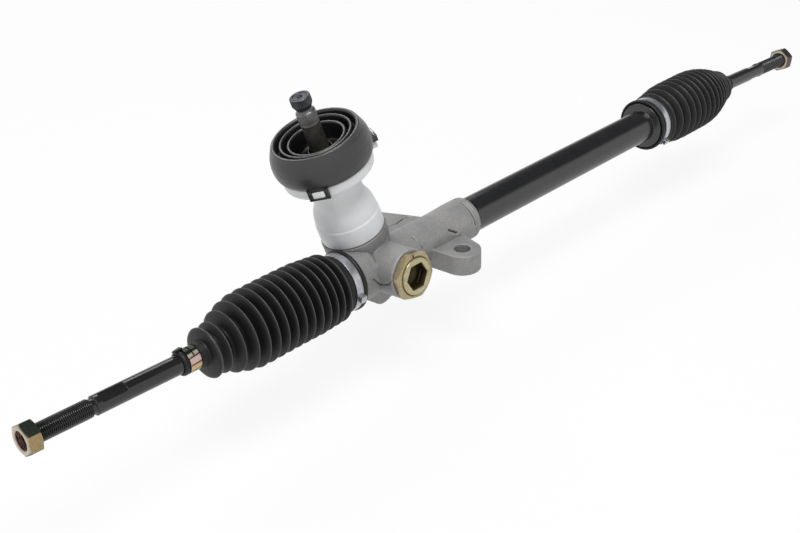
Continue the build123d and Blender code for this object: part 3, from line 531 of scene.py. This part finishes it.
def make_lock_nut():
    """Thin hex nut round the plug, staked by a sawn slot in its face."""
    low, high, bore, n = 37.55, 44.55, LOCK_NUT_BORE_R, 360
    top, slot_at, slot_depth, rim = LOCK_NUT_FLATS / 2 * 0.97, radians(94), 1.3, None

    def row(r, h, outward):
        """Circle inside the hexagon, or its rim; the outer face's rows dip into the slot."""
        out = []
        for j in range(n):
            t = 2 * pi * j / n
            reach, hh = hex_reach(LOCK_NUT_FLATS, t, LOCK_NUT_TURN), h
            if r is rim:
                rr, hh = reach, h - outward * max(0.0, reach - top) * tan(radians(30))
            else:
                rr = min(r, reach - 0.03)
            if outward > 0 and abs(rr * sin(t - slot_at)) < 0.8 and cos(t - slot_at) > 0:
                hh -= slot_depth
            out.append((rr * cos(t), rr * sin(t), hh))
        return out

    rows = [row(bore, low, -1), row(top, low, -1), row(rim, low, -1), row(rim, high, 1), row(top, high, 1)]
    rows += [row(bore + (top - bore) * k / 6, high, 1) for k in range(5, 0, -1)]
    rows += [row(bore + 0.5, high, 1), row(bore, high - 0.5, 0)]
    verts, faces = skin(rows, True, True)
    piece = build("lock_nut", verts, faces, YOKE, ZINC, "housing", "yoke_lock_nut", sharp=28)
    film_and_painted_light(piece, YOKE, lambda angle, r, h: [0.24, 0.19, 0.11] if r < bore + 1.2 else [0.44, 0.37, 0.22])


# ---- shaft ----
def make_shaft():
    """Splined head, pinch groove and second spline over the bare shank; the pinion below stays as packed."""
    cut, spline_count = 60.0, 36
    mesh = NODES["pinion_shaft"].data.copy()
    work = bmesh.new()
    work.from_mesh(mesh)
    normal = (PINION.to_3x3() @ Vector((0, 0, 1))).normalized()
    point = PINION @ Vector((0, 0, cut))
    bmesh.ops.bisect_plane(work, geom=work.verts[:] + work.edges[:] + work.faces[:], dist=1e-7,
                           plane_co=point, plane_no=normal, clear_outer=True)
    bmesh.ops.edgeloop_fill(work, edges=[e for e in work.edges if e.is_boundary])
    work.to_mesh(mesh)
    work.free()
    lower = bpy.data.objects.new("pinion_teeth", mesh)
    SCENE.collection.objects.link(lower)
    mesh.materials.clear()
    mesh.materials.append(SHAFT)
    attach(lower, "pinion")
    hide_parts("pinion_shaft")

    top, head, taper = 160.5, 151.0, 154.5
    groove, second = 148.0, 136.0

    def ribs(r, h, t):
        """Splines cut into the radius, run out at both ends of each stretch."""
        deep = 0.0
        if head + 1.5 < h < top - 0.5:
            deep = 0.55 * min(1.0, (h - head - 1.5) / 2.0, (top - 0.5 - h) / 0.4)
        elif second + 0.4 < h < groove - 0.9:
            deep = 0.3 * min(1.0, (h - second - 0.4) / 1.5, (groove - 0.9 - h) / 0.4)
        wave = abs(((t / (2 * pi) * spline_count) % 1.0) * 2 - 1)
        return r - deep * min(1.0, wave * 1.6), h

    profile = [(0, 60.2), (8, 60.2), (8, 68), (7.7, 69)] + [(7.7, 70 + 8 * k) for k in range(8)]
    profile += [(7.6, second - 1.2), (7.75, second), (7.9, second + 0.5)]
    profile += [(7.9, second + 1 + k * 1.1) for k in range(10)] + [(7.7, groove - 0.7), (6.9, groove - 0.1)]
    profile += [(6.4, groove + 0.6), (6.3, groove + 1.6), (6.5, head - 0.4), (6.9, head + 0.4),
                (7.5, head + 1.6)]
    profile += [(8.0, head + 2.6), (8.3, taper)] + [(8.3, taper + 0.7 * k) for k in range(1, 8)]
    profile += [(8.25, top - 0.45), (8.0, top - 0.1), (7.6, top), (6.2, top), (5.9, top - 0.35),
                (4.4, top - 0.5), (3.4, top - 0.25), (2.6, top - 0.3), (2.2, top - 0.8), (1.0, top - 2.4),
                (0, top - 3.2)]
    piece = turned("shaft_upper", profile, PINION, SHAFT, "pinion", "pinion_shaft", n=288,
                   closed=False, wobble=ribs, sharp=45)
    stain = ((60, 0.0), (97, 0.0), (103, 0.3), (109, 0.45), (134, 0.52), (146, 0.75), (148.5, 0.7),
             (152, 0.95), (170, 1.0))

    def age(x, y, z):
        """Wear that follows the height, from the stain at the seal to the clean head."""
        for (a, va), (b, vb) in zip(stain, stain[1:]):
            if z <= b:
                return va + (vb - va) * max(0.0, z - a) / (b - a)
        return 1.0

    paint(piece, PINION, age)
    paint(lower, PINION, lambda x, y, z: 0.6)


# ---- cover and dash seal ----
def make_cover():
    """Moulded cover with its flange and hooks, over the casting's collar."""
    top, low = COVER_TOP, COVER_LOW
    outer = [(25.7, low), (26.9, low + 0.7), (26.9, 46.4), (26.7, 47.4), (26.3, 47.9), (26.1, 48.6),
             (26.1, 50.5), (25.8, 54), (24.7, 58.5), (22.7, 63.2), (21.2, 66.4), (20.8, 70), (20.8, 76),
             (21.3, 82), (22.6, 85.6), (26, 87.6), (34.4, 88.8), (37.0, 90.2), (37.4, 92.2),
             (37.4, top - 0.5), (36.9, top)]
    inner = [(12.5, top), (12, top - 0.6), (12, top - 2.0), (12.6, top - 2.6), (18.4, top - 2.6), (18.4, 70),
             (20.4, 64), (23.65, 55), (23.65, low + 0.6), (24.2, low)]
    profile = softened(outer + inner + [outer[0]], 1.1, 3)[:-1]
    turned("cover", profile, PINION, COVER, "housing", "pinion_cover", n=192)
    base = 21.0
    collar = [(23.4, base), (27.6, base), (27.6, low - 0.9), (27.0, low - 0.3), (23.4, low - 0.3),
              (23.4, base)]
    piece = turned("casting_collar", softened(collar, 0.6)[:-1], PINION, CAST, "housing",
                   "pinion_housing", n=192)
    # a constant level darkens the whole collar: painted shade under the cover's rim
    paint(piece, PINION, lambda x, y, z: 0.62)
    hooks = (("cover_hook_0", 0, 33, 40.4, top - 0.1, 0.6), ("cover_hook_foot", 1, 33, 42.75, top - 0.2, 0.5),
             ("cover_hook_post", 1, 41.6, 42.8, top + 9.5, 0.45),
             ("cover_hook_2", 2, 33, 40.4, top - 0.1, 0.6))
    for name, k, near, far, upto, radius in hooks:
        rounded_box(name, (near, -4.75, top - 5.3), (far, 4.75, upto), hook_place(k), COVER,
                    "housing", radius)


def make_seal():
    """Cup with three lips inside one another, and the loops that hold it on the cover's hooks."""
    low, top = SEAL_LOW, SEAL_TOP
    profile = [(9.0, low), (36.5, low), (38.6, low + 0.6), (40.4, low + 4), (41.1, low + 8),
               (41.15, low + 13), (40.2, low + 18), (38.4, low + 22.5), (36.9, top - 2.4), (36.1, top - 0.5),
               (35.2, top), (33.8, top - 0.2), (33.0, top - 1.2), (32.4, top - 7.2), (31.6, top - 8.4),
               (30.8, top - 8), (30.3, top - 6.6), (29.9, top - 2.3), (29.2, top - 1.5), (28.0, top - 1.6),
               (27.4, top - 2.8), (27.0, top - 10.8), (26.3, top - 12), (25.2, top - 11.8),
               (24.6, top - 10.4), (24.2, top - 4.8), (23.5, top - 3.8), (22.2, top - 3.8), (21.5, top - 5),
               (21.0, top - 12), (20.2, low + 8.5), (18.0, low + 7.4), (13.0, low + 10.6), (10.4, low + 13.6),
               (9.5, low + 13.8), (9.0, low + 13.2)]
    profile = softened(profile + [profile[0]], 0.9, 3)[:-1]
    piece = turned("seal_cup", profile, PINION, SEAL, "housing", "dash_seal", n=192)
    tips = ((35.0, top), (28.9, top - 1.5), (22.9, top - 3.8))

    def edges(x, y, z):
        """Rubbed pale at the lips' tips, grey outside, and darker down in the cup as painted shade."""
        r = hypot(x, y)
        tip = max(1 - abs(z - h) / 1.6 - abs(r - at) / 2.4 for at, h in tips)
        # inside the cup the level falls with depth: painted shade
        return max(tip, 0.46 if r > 35.5 else 0.3 - 0.02 * (top - z))

    paint(piece, PINION, edges)
    frame_bars = (("low", -8.5, 8.5, low - 8, low - 5.7), ("high", -8.5, 8.5, low + 0.4, low + 2.5),
                  ("a", -8.5, -5.05, low - 8, low + 2.5), ("b", 5.05, 8.5, low - 8, low + 2.5))
    loops = [("seal_loop_%d_%s" % (k, tag), k, (37.8, y0, z0), (40.0, y1, z1), 0.45)
             for k in (0, 2) for tag, y0, y1, z0, z1 in frame_bars]
    straps = [("seal_strap_side_-1", 1, (39.9, -7.35, low + 1), (44.2, -5.15, low + 6.5), 0.4),
              ("seal_strap_side_1", 1, (39.9, 5.15, low + 1), (44.2, 7.35, low + 6.5), 0.4),
              ("seal_strap_bar", 1, (43.1, -7.2, low + 1), (44.3, 7.2, low + 6.5), 0.45)]
    for name, k, near, far, radius in loops[:4] + straps + loops[4:]:
        rounded_box(name, near, far, hook_place(k), SEAL, "housing", radius)


# ---- boots ----
def crests(side):
    """Place and radius of each fold's crest, from the housing outwards."""
    gather, swell, fade = (-0.26, 3.8, 52.0) if side > 0 else (0.13, 1.7, 42.0)
    first, last = BOOT_START[side] + 21, BOOT_NECK[side] - 11.3
    out = []
    for k in range(14):
        u = k / 13
        at = first + (last - first) * ((1 - gather) * u + gather * u * u)
        r = 17 + 13.7 * sin(pi / 2 * min(1.0, (last + 7 - at) / fade))
        out.append((at, r - swell * max(0.0, 1 - (at - first) / 24)))
    return out


def boot_profile(side):
    """Outer points with their painted light from the lip to the disc, a painted highlight on each crest and
    painted shade down each valley, and the rows in the folds' valleys.
    """
    folds, start, neck, end = crests(side), BOOT_START[side], BOOT_NECK[side], DISC_R[side]
    band, seat = start + BAND_SETBACK[side], SEAT_R + 0.1
    lip = [(seat, start + 0.3), (seat + 0.5, start), (25.2, start), (25.9, start + 0.7), (25.9, start + 2.6),
           (25.2, start + 3.6), (24.1, start + 4.2), (24.0, band), (24.0, band + 7.4)]
    if side > 0:
        lip += [(24.4, band + 8.2), (24.9, band + 9.6), (25.4, folds[0][0] - 3.2)]
    else:
        lip += [(24.5, band + 8.1), (24.9, folds[0][0] - 7.4), (24.0, folds[0][0] - 5.2)]
    points = [(r, x, 0.5) for r, x in lip]
    marks = []
    chain = folds + [(neck - 2.4, end)]
    for (at, r), (nxt, after) in zip(chain, chain[1:]):
        low, mid = min(r, after), (at + nxt) / 2
        depth, gap = low * 7.6 / 30.7, nxt - at
        # third values are painted light: highest for the painted highlight on the crest
        points += [(r - 1.9, at - 0.16 * gap, 0.42), (r - 0.55, at - 0.75, 0.6), (r - 0.1, at - 0.3, 0.9),
                   (r, at, 1.0), (r - 0.15, at + 0.3, 0.85), (r - 0.7, at + 0.75, 0.55),
                   (r - 2.2, at + 0.16 * gap, 0.36)]
        # and lowest for the painted shade at the bottom of the valley
        points += [(low - depth * 0.62, mid - 0.2 * gap, 0.24), (low - depth * 0.93, mid - 0.07 * gap, 0.06),
                   (low - depth, mid, 0.0), (low - depth * 0.93, mid + 0.07 * gap, 0.06),
                   (low - depth * 0.62, mid + 0.2 * gap, 0.24)]
        marks.append((len(points) - 3, mid))
    points += [(end - 1.2, neck - 4.0, 0.5), (end - 0.2, neck - 3.2, 0.9), (end, neck - 2.2, 0.9),
               (end - 0.6, neck - 1.2, 0.7), (end - 2.4, neck - 0.4, 0.45), (13.2, neck + 0.1, 0.4),
               (11.2, neck + 0.4, 0.3)]
    return points, marks


def bow(side, x):
    """How far the bellows' middle sags off the rack's axis, in millimetres."""
    if side > 0:
        return -1.2 * max(0.0, (x - 330) / 28) ** 2
    return 2.0 * sin(pi * min(1.0, max(0.0, (x - 205) / 144)))


def make_boot(side):
    """Bellows in three lengths from the housing out to the neck, with the sleeve on the rod."""
    name, n, wall = word(side), 160, 1.1
    points, marks = boot_profile(side)
    rows = []
    for r, x, fold_light in points:
        middle = bow(side, x)
        rows.append([(side * x, r * cos(2 * pi * j / n), r * sin(2 * pi * j / n) + middle) for j in range(n)])
    first, second, neck = marks[8], marks[10], BOOT_NECK[side]
    spans = (("a", 0, first[0], "housing", "rack", STRETCH_START[side], first[1]),
             ("b", first[0], second[0], "rack", "seat_" + name, first[1], second[1]),
             ("c", second[0], len(rows) - 1, "seat_" + name, "rod_" + name, second[1], neck - 2))
    for tag, a, b, body_a, body_b, x0, x1 in spans:
        outer, inner = rows[a:b + 1], []
        for (r, x, fold_light), row in zip(points[a:b + 1], outer):
            k, middle = (r - wall) / r, bow(side, x)
            inner.append([(p[0], p[1] * k, (p[2] - middle) * k + middle) for p in row])
        verts, faces = skin(outer + inner[::-1], True, True)
        piece = build("boot_%s_%s" % (name, tag), verts, faces, Matrix.Scale(MM, 4), BOOT,
                      sharp=60)
        levels = [fold_light for r, x, fold_light in points[a:b + 1]] + [0.1] * (b + 1 - a)
        layer = piece.data.attributes.new("wear_and_painted_light", "FLOAT", "POINT")
        layer.data.foreach_set("value", [fold_light for fold_light in levels for j in range(n)])
        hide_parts("boot_" + name)
        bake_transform(piece)
    lead = neck - BALL_X
    clip, nose = lead + CLIP_SETBACK[side], lead + NOSE_LENGTH[side]
    sleeve = [(7.5, lead - 1.5), (13.0, lead - 1.5), (12.0, lead - 0.2), (10.6, lead + 0.8),
              (10.2, clip - 1.0), (10.0, clip - 0.7), (8.5, clip - 0.3), (8.5, clip + 10.1),
              (8.9, clip + 10.5), (9.6, clip + 11.0), (9.6, nose - 1.4), (8.9, nose - 0.3), (8.2, nose),
              (7.5, nose)]
    sleeve = softened(sleeve + [sleeve[0]], 0.5)[:-1]
    piece = turned("boot_%s_neck" % name, sleeve, rod_place(side), BOOT, "rod_" + name,
                   "boot_" + name, n=96)
    paint(piece, rod_place(side), lambda x, y, z: 0.45)


# ---- clamps and clips ----
def make_clamp(side):
    """Boot band with its crimped ear."""
    name, start, r = word(side), BOOT_START[side] + BAND_SETBACK[side], SEAT_R + 1.45
    band = [(r, start), (r + 0.9, start), (r + 0.9, start + 7), (r, start + 7), (r, start)]
    turned("clamp_%s_band" % name, softened(band, 0.25, 2)[:-1], side_place(side), CLAMP,
           "housing", "boot_clamp_" + name, n=160)
    turn = side_place(side) @ Matrix.Rotation(radians(EAR_TURN[side]), 4, "Z")
    z0, z1 = start + 0.7, start + 6.3
    for tag, y in (("a", -2.9), ("b", 1.9)):
        rounded_box("clamp_%s_leg_%s" % (name, tag), (r + 0.5, y, z0), (r + 4.6, y + 1.0, z1), turn, CLAMP,
                    "housing", 0.25)
    rounded_box("clamp_%s_crown" % name, (r + 3.9, -2.9, z0), (r + 5.0, 2.9, z1), turn, CLAMP,
                "housing", 0.35)


def make_clip(side):
    """Plated spring clip with a slot in its band, a seam, a notch and a grip tang."""
    name, lead, inner, outer = word(side), BOOT_NECK[side] - BALL_X + CLIP_SETBACK[side], 8.55, 9.55
    end, mid, own = lead + 9.8, lead + 4.9, rod_place(side)

    def pressed(r, h, t):
        """Band pressed in at its slot, its notch and its seam."""
        a = degrees(t) % 360
        if r > outer - 0.5:
            if 43 < a < 150 and abs(h - mid) < 0.6:
                r -= 0.75
            if 325 < a < 331 and abs(h - mid) < 1.3:
                r -= 0.6
            if 6 < a < 9:
                r -= 0.3
        return r, h

    band = [(inner, lead), (outer - 0.2, lead), (outer, lead + 0.25), (outer, lead + 1.5),
            (outer, lead + 3.5)]
    band += [(outer, mid - 1.35), (outer, mid - 0.65), (outer, mid - 0.55), (outer, mid + 0.55),
             (outer, mid + 0.65), (outer, mid + 1.35), (outer, end - 1.5), (outer, end - 0.25),
             (outer - 0.2, end), (inner, end)]
    piece = turned("clip_%s_band" % name, band, own, ZINC, "rod_" + name, "boot_clip_" + name,
                   n=240, wobble=pressed, sharp=30)
    # by angle round the band: the cream beside the slot is a painted highlight, the olive over the top a
    # painted reflection and the dark brown at the small notch painted shade; the rest are the plating's own
    # colours
    zones = ((4, GOLD), (10, (0.16, 0.09, 0.04)), (38, PINK), (44, SEAM), (61, (0.80, 0.77, 0.60)),
             (180, OLIVE_REFLECTION), (300, BROWN), (340, (0.30, 0.22, 0.10)), (361, (0.62, 0.48, 0.25)))

    def plating_and_painted_light(angle, r, h):
        if h < lead + 0.2 or h > end - 0.2 or r < outer - 0.4:
            return DEEP_RUST
        if side > 0:
            return BROWN
        return next(colour for upto, colour in zones if min(angle + (h - mid) * 0.8, 360) < upto)

    film_and_painted_light(piece, own, plating_and_painted_light)
    turn = own @ Matrix.Rotation(radians(TANG_TURN[side]), 4, "Z")

    def tapered(p):
        """Tang that narrows to a bent tip."""
        along = max(0.0, (p.z - end) / 7.0)
        return p.x - 0.5 * along, p.y * (1 - 0.45 * along) - 0.8 * along, p.z

    rounded_box("clip_%s_stub" % name, (outer - 0.4, -2.4, end - 1.1), (outer + 1.8, 2.4, end), turn, ZINC,
                "rod_" + name, 0.3)
    rounded_box("clip_%s_tang" % name, (outer + 0.9, -2.4, end - 1.1), (outer + 1.8, 2.4, end + 6.9), turn,
                ZINC, "rod_" + name, 0.3, tapered)


# ---- housing ----
def seen_through(cam, piece, px, py):
    """Point and normal of a piece's surface under a pixel of the camera's 800 by 533 frame."""
    width, height = 800, 533
    focal = cam.data.lens / cam.data.sensor_width * width
    ray = cam.matrix_world.to_3x3() @ Vector((px - width / 2, height / 2 - py, -focal)).normalized()
    found, where, normal, index = piece.ray_cast(cam.location, ray)
    return where, normal


# Lines on the casting: the photograph's pixels that each runs through, its width and its depth.
GROOVES = (([(388, 226), (396, 223.5), (403, 218.5), (408, 217), (415, 217)], 2.6, 1.7),
           ([(403, 227), (413, 238), (423, 248)], 2.0, 1.1),
           ([(449, 230), (453, 231.5), (457, 233)], 2.2, 2.0),
           ([(462, 203), (468, 208), (473, 216), (476, 225)], 2.4, 1.6),
           ([(374, 280), (380, 285), (388, 285), (392, 281)], 2.2, 1.1))


def engrave(cam, piece, pixels, width, depth):
    """Round-bottomed groove along a line on the surface."""
    line, reach = [seen_through(cam, piece, *at) for at in pixels], width * MM / 2
    for v in piece.data.vertices:
        near, inward = 1.0, None
        for (a, na), (b, nb) in zip(line, line[1:]):
            ab = b - a
            s = max(0.0, min(1.0, (v.co - a).dot(ab) / ab.length_squared))
            gap = (v.co - a - s * ab).length
            if gap < near:
                near, inward = gap, (na + nb).normalized()
        if near < reach and v.normal.dot(inward) > 0.2:
            v.co -= inward * depth * MM * (1 - (near / reach) ** 2)


def evaluated(piece):
    """Mesh of a piece with its modifiers applied."""
    bpy.context.view_layer.update()
    return bpy.data.meshes.new_from_object(piece.evaluated_get(bpy.context.evaluated_depsgraph_get()))


def make_housing():
    """The casting with its edges rolled over, its mould lines and tool marks, painted shade in its hollows and
    corners, and its outward edges painted lighter.
    """
    piece = bpy.data.objects.new("casting", NODES["pinion_housing"].data.copy())
    SCENE.collection.objects.link(piece)
    remesh = piece.modifiers.new("remesh", "REMESH")
    remesh.mode, remesh.voxel_size, remesh.use_smooth_shade = "VOXEL", VOXEL * MM, True
    smooth = piece.modifiers.new("smooth", "SMOOTH")
    smooth.factor, smooth.iterations = 0.5, 7
    done = evaluated(piece)
    piece.modifiers.clear()
    piece.data = done
    bpy.context.view_layer.update()
    for pixels, width, depth in GROOVES:
        engrave(SCENE.camera, piece, pixels, width, depth)
    soft = piece.modifiers.new("soft", "SMOOTH")
    soft.factor, soft.iterations = 1.0, 14
    relaxed = evaluated(piece)
    piece.modifiers.clear()
    # painted shade: the casting's ramp darkens vertices that smoothing lifts, in hollows and corners, and
    # lightens those it lowers, on outward edges
    hollow_shade = [(b.co - a.co).dot(a.normal) / MM for a, b in zip(done.vertices, relaxed.vertices)]
    layer = done.attributes.new("wear_and_painted_light", "FLOAT", "POINT")
    layer.data.foreach_set("value", [min(1.0, max(0.0, 0.45 + HOLLOW_SHADE_REACH * h)) for h in hollow_shade])
    bpy.data.meshes.remove(relaxed)
    done.materials.clear()
    done.materials.append(CAST)
    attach(piece, "housing")
    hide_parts("pinion_housing")


# ---- camera, floor and light ----
def look_at(obj, target):
    """Turn a lamp's beam to a point."""
    obj.rotation_mode = "QUATERNION"
    obj.rotation_quaternion = (Vector(target) - obj.location).to_track_quat("-Z", "Y")


def make_camera():
    """Camera at the photograph's place, angle and focal length."""
    data = bpy.data.cameras.new("camera")
    data.sensor_width, data.lens = 36.0, 57.2
    data.clip_start, data.clip_end = 0.05, 30.0
    cam = bpy.data.objects.new("camera", data)
    SCENE.collection.objects.link(cam)
    turn = Matrix(((0.688539, 0.366635, -0.625694), (-0.7248, 0.319266, -0.61052),
                   (-0.024076, 0.873869, 0.485564)))
    cam.matrix_world = Matrix.Translation((-0.8064, -0.64977, 0.5027)) @ turn.to_4x4()
    SCENE.camera = cam


def area_light(name, spot, width, height, power):
    """Soft lamp that points at the part."""
    data = bpy.data.lights.new(name, "AREA")
    data.shape, data.size, data.size_y, data.energy = "RECTANGLE", width, height, power
    lamp = bpy.data.objects.new(name, data)
    SCENE.collection.objects.link(lamp)
    lamp.location = spot
    look_at(lamp, (0, 0, 0))


def stage_material():
    """Matt pale floor that looks white to the camera and in reflections, and keeps the object's shadow."""
    mat = bpy.data.materials.new("floor_pale")
    mat.use_nodes = True
    nodes, links = mat.node_tree.nodes, mat.node_tree.links
    shader = nodes["Principled BSDF"]
    shader.inputs["Base Color"].default_value = (0.85, 0.85, 0.85, 1)
    shader.inputs["Roughness"].default_value = 0.95
    shader.inputs["Specular IOR Level"].default_value = 0.1
    white, mix = nodes.new("ShaderNodeEmission"), nodes.new("ShaderNodeMixShader")
    factor = nodes.new("ShaderNodeMath")
    factor.operation = "MULTIPLY"
    factor.inputs[1].default_value = 0.88
    links.new(backdrop_ray(mat.node_tree), factor.inputs[0])
    links.new(factor.outputs[0], mix.inputs[0])
    links.new(shader.outputs[0], mix.inputs[1])
    links.new(white.outputs[0], mix.inputs[2])
    links.new(mix.outputs[0], nodes["Material Output"].inputs["Surface"])
    return mat


def backdrop_ray(tree):
    """One for rays that look at the background: the camera's own, reflected and refracted ones."""
    path = tree.nodes.new("ShaderNodeLightPath")
    total = path.outputs["Is Camera Ray"]
    for kind in ("Is Glossy Ray", "Is Transmission Ray"):
        add = tree.nodes.new("ShaderNodeMath")
        add.operation = "MAXIMUM"
        tree.links.new(total, add.inputs[0])
        tree.links.new(path.outputs[kind], add.inputs[1])
        total = add.outputs[0]
    return total


def make_world():
    """White walls and a dim ceiling that leans away, a little dimmer as a light than as a backdrop."""
    world = bpy.data.worlds.new("world")
    world.use_nodes = True
    tree = world.node_tree
    nodes, links = tree.nodes, tree.links
    height, ceiling = nodes.new("ShaderNodeVectorMath"), nodes.new("ShaderNodeValToRGB")
    height.operation = "DOT_PRODUCT"
    height.inputs[1].default_value = (0.2, 0.2, 1.0)
    links.new(nodes.new("ShaderNodeTexCoord").outputs["Generated"], height.inputs[0])
    links.new(height.outputs["Value"], ceiling.inputs["Fac"])
    wall, overhead = ceiling.color_ramp.elements
    wall.position, wall.color = 0.42, (1, 1, 1, 1)
    overhead.position, overhead.color = 0.62, (0.12, 0.12, 0.13, 1)
    strength = nodes.new("ShaderNodeMapRange")
    strength.inputs["To Min"].default_value = 0.58
    links.new(backdrop_ray(tree), strength.inputs["Value"])
    links.new(ceiling.outputs["Color"], nodes["Background"].inputs["Color"])
    links.new(strength.outputs["Result"], nodes["Background"].inputs["Strength"])
    SCENE.world = world


def make_stage():
    """Wide floor, low enough to clear the rods at their joints' limits, with the world and the lamps."""
    floor_z, s = CAD_LOW.z - 0.05, 20.0
    mesh = bpy.data.meshes.new("floor")
    corners = [(-s, -s, floor_z), (s, -s, floor_z), (s, s, floor_z), (-s, s, floor_z)]
    mesh.from_pydata(corners, [], [(0, 1, 2, 3)])
    floor_obj = bpy.data.objects.new("floor", mesh)
    SCENE.collection.objects.link(floor_obj)
    mesh.materials.append(stage_material())
    make_world()
    SCENE.view_settings.view_transform = "Standard"
    area_light("key", (-0.6, -0.55, 2.2), 1.5, 1.1, 50)
    area_light("rim", (0.4, 1.6, 1.5), 1.8, 0.8, 14)


make_camera()
make_stage()
dress_cad_nodes()
make_tube()
make_housing()
make_plug()
make_lock_nut()
make_shaft()
make_cover()
make_seal()
for hand in SIDES:
    make_rod(hand)
    make_nut(hand)
    make_boot(hand)
    make_clamp(hand)
    make_clip(hand)
